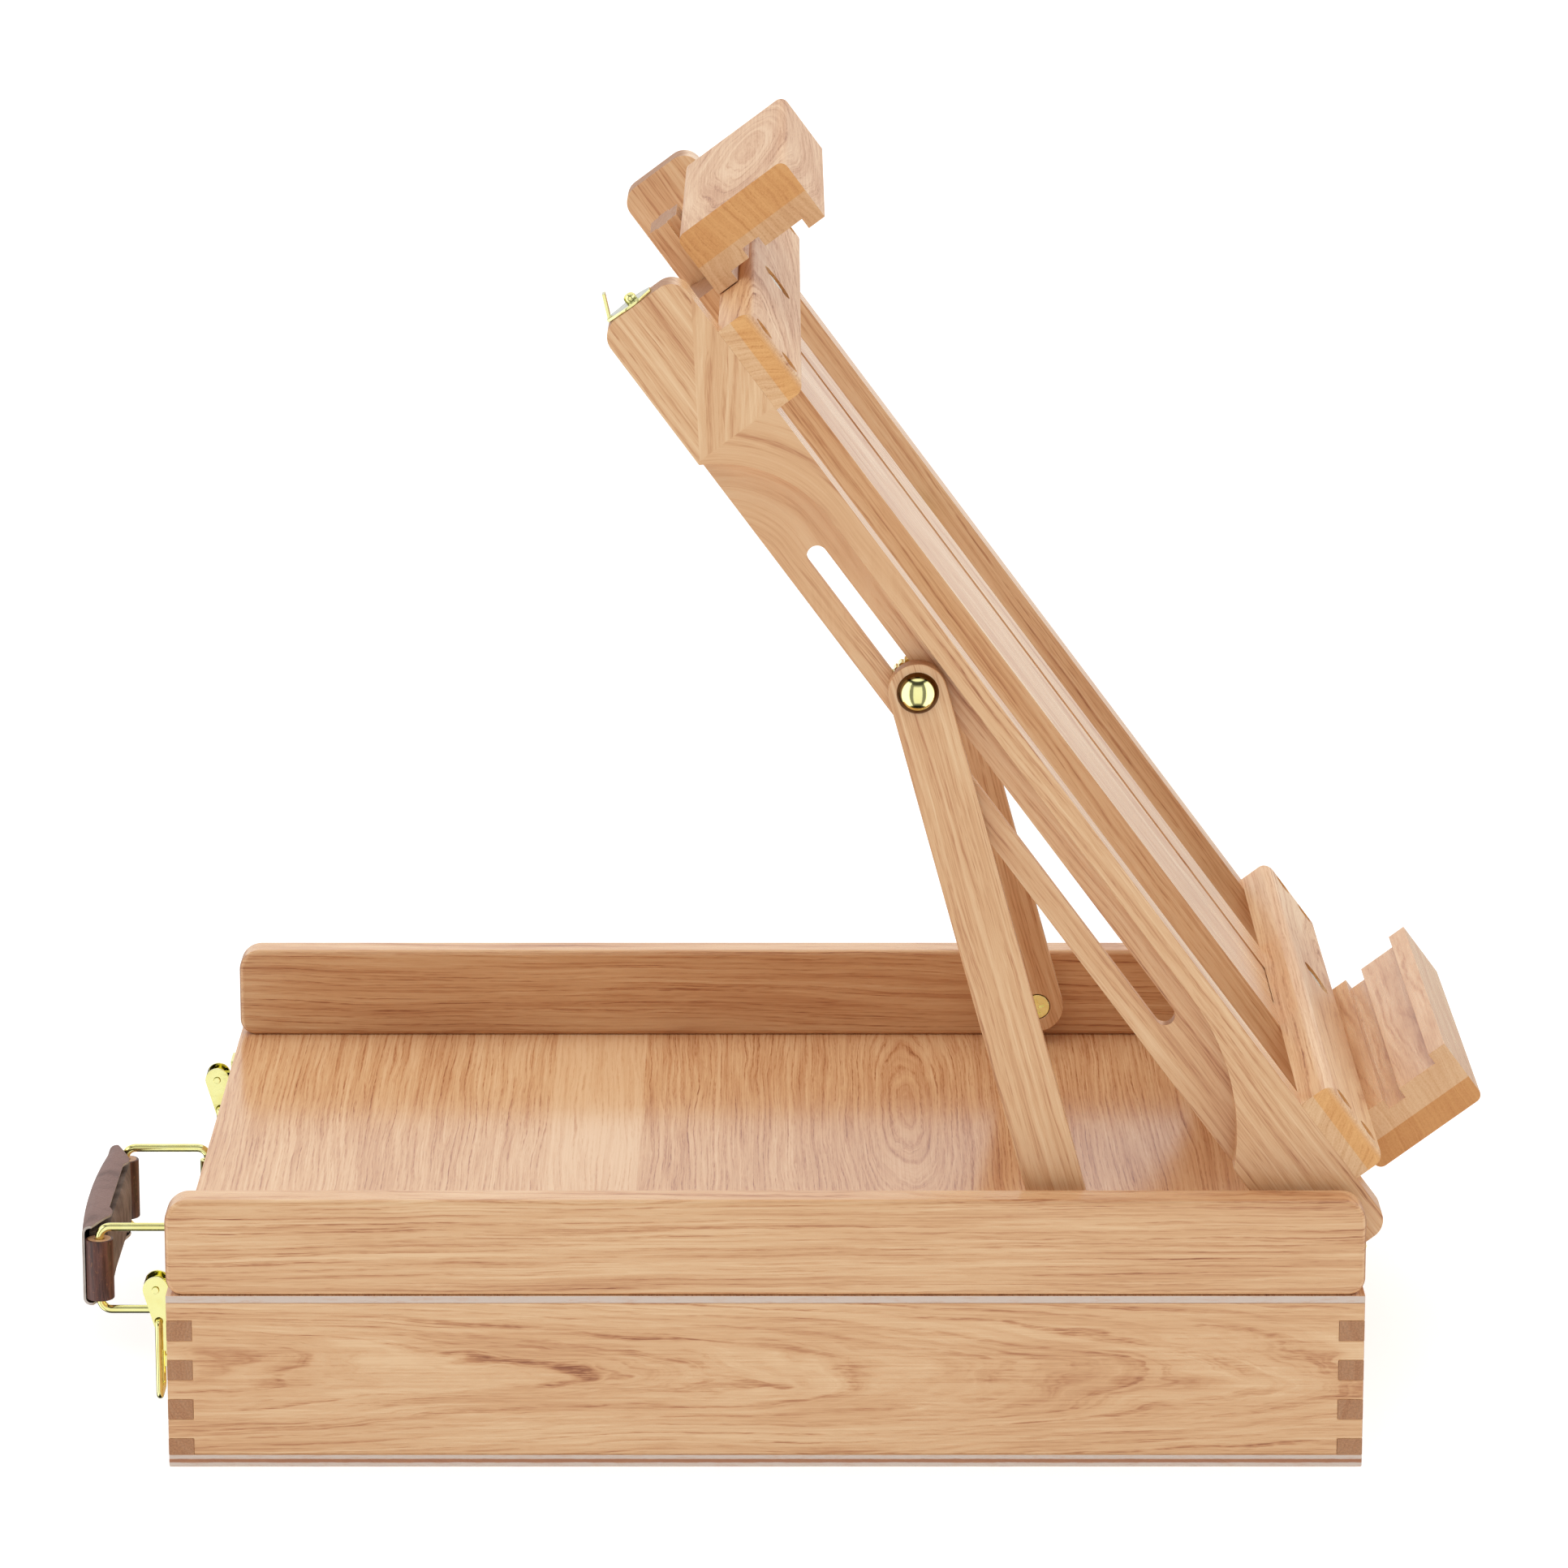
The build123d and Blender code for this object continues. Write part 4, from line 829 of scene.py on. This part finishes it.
def metal_of(node, slot):
    """Brass or steel; the slot bolts' heads have a rim of painted shade and the hook's leaf a painted
    grey reflection.
    """
    if node == "corner_hook":
        return brass_with_painted_reflection("brass_painted_grey_reflection", BOARD_FACING)
    if node.startswith("slot_bolt"):
        low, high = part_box(node)
        rim = ((low + high) / 2, (high.x - low.x) / 2)
        return polished(node + "_brass", BRASS_BRIGHT, BRASS_DEEP, BRASS_ROUGHNESS, rim)
    return steel if slot == "steel" else brass


for part in frame["record"]["subparts"]:
    node = part["node"]
    slot = part["material_slot"]
    if node not in SAWN and slot != "leather":
        dressed(node, metal_of(node, slot), edge=0 if node.startswith("knurled") else 0.15)


# ---------------------------------------------------------------- studio


CAMERA_PLACE = (0.00636, -2.351, 0.774)
CAMERA_DOWN = 13.716
CAMERA_LENS = 153.73
CAMERA_SENSOR = 36


def studio_floor():
    """A pale floor that glows a little, so that it meets the white air without an edge."""
    finish = Finish("pale_floor", roughness=0.9)
    finish.shader.inputs["Emission Color"].default_value = (1, 1, 1, 1)
    finish.shader.inputs["Emission Strength"].default_value = 0.62
    cloud = finish.noise(finish.place(), 2.0, detail=2)
    finish.colour(finish.mix(cloud.step(0.3, 0.7), tone(198, 198, 198), tone(196, 196, 197)))
    bpy.ops.object.select_all(action="DESELECT")
    bpy.ops.mesh.primitive_plane_add(size=60, location=(0, 0, cad_box[0].z))
    floor = bpy.context.object
    floor.name = "studio_floor"
    bpy.ops.object.transform_apply(location=True, rotation=True, scale=True)
    floor.data.materials.append(finish.material)
    floor.visible_glossy = False


def soft_panel(name, place, aim, size, power):
    """A soft light of this size that aims at a point and isn't mirrored in the metal."""
    light = bpy.data.lights.new(name, "AREA")
    light.shape = "RECTANGLE"
    light.size = size[0]
    light.size_y = size[1]
    light.energy = power
    panel = bpy.data.objects.new(name, light)
    bpy.context.scene.collection.objects.link(panel)
    panel.location = place
    panel.visible_glossy = False
    panel.rotation_euler = (Vector(aim) - Vector(place)).to_track_quat("-Z", "Y").to_euler()


def studio_air(strength):
    """White all round, but polished metal sees soft panels with dark gaps between them.

    Angles are in degrees: turn is measured to either side of the front, rise from the horizon.
    """
    world = bpy.data.worlds.new("studio_air")
    world.use_nodes = True
    air = Nodes(world.node_tree)
    across, deep, high = air.axes(air.add("ShaderNodeTexCoord", output=0))
    turn = across.math("ARCTAN2", deep * -1).math("ABSOLUTE") * math.degrees(1)
    rise = high.math("ARCSINE") * math.degrees(1)
    front = between(turn, -20, 24, 5) * between(rise, -54, 34, 7)
    sides = between(turn, 42, 100, 5) * between(rise, -62, 46, 6) * 1.6
    overhead = between(rise, 60, 78, 4) * turn.step(90, 100, 1.0, 0.0) * 1.1
    behind = turn.step(96, 108) * rise.step(-14, -2)
    dim = between(rise, -62, 40, 6) * 0.2 + rise.step(-70, -55) * 0.04 + 0.01
    panels = front.math("MAXIMUM", sides).math("MAXIMUM", overhead).math("MAXIMUM", behind)
    gloss = air.add("ShaderNodeLightPath", output=3)
    soft = air.add("ShaderNodeLightPath", output=2)
    shade = between(turn, -20, 95, 20) * rise.step(20, 55, 1.0, 0.0)
    sky = rise.step(25, 70) * 0.42 - shade * 0.72
    level = 1 - gloss * (1 - panels.math("MAXIMUM", dim)) + soft * sky
    background = world.node_tree.nodes["Background"]
    background.inputs["Color"].default_value = (1, 1, 1, 1)
    air.feed(background.inputs["Strength"], level * strength)
    bpy.context.scene.world = world


def studio_camera():
    """A long lens at a distance, looking down a little."""
    lens = bpy.data.cameras.new("camera")
    lens.sensor_width = CAMERA_SENSOR
    lens.lens = CAMERA_LENS
    lens.clip_end = 100
    camera = bpy.data.objects.new("camera", lens)
    bpy.context.scene.collection.objects.link(camera)
    camera.location = CAMERA_PLACE
    camera.rotation_euler = (math.radians(90 - CAMERA_DOWN), 0, 0)
    bpy.context.scene.camera = camera


studio_floor()
studio_air(0.99)
soft_panel("high_panel", (-0.5, -2.2, 2.4), (0, 0, 0.15), (2.4, 1.6), 7)
studio_camera()
bpy.context.scene.view_settings.view_transform = "Standard"
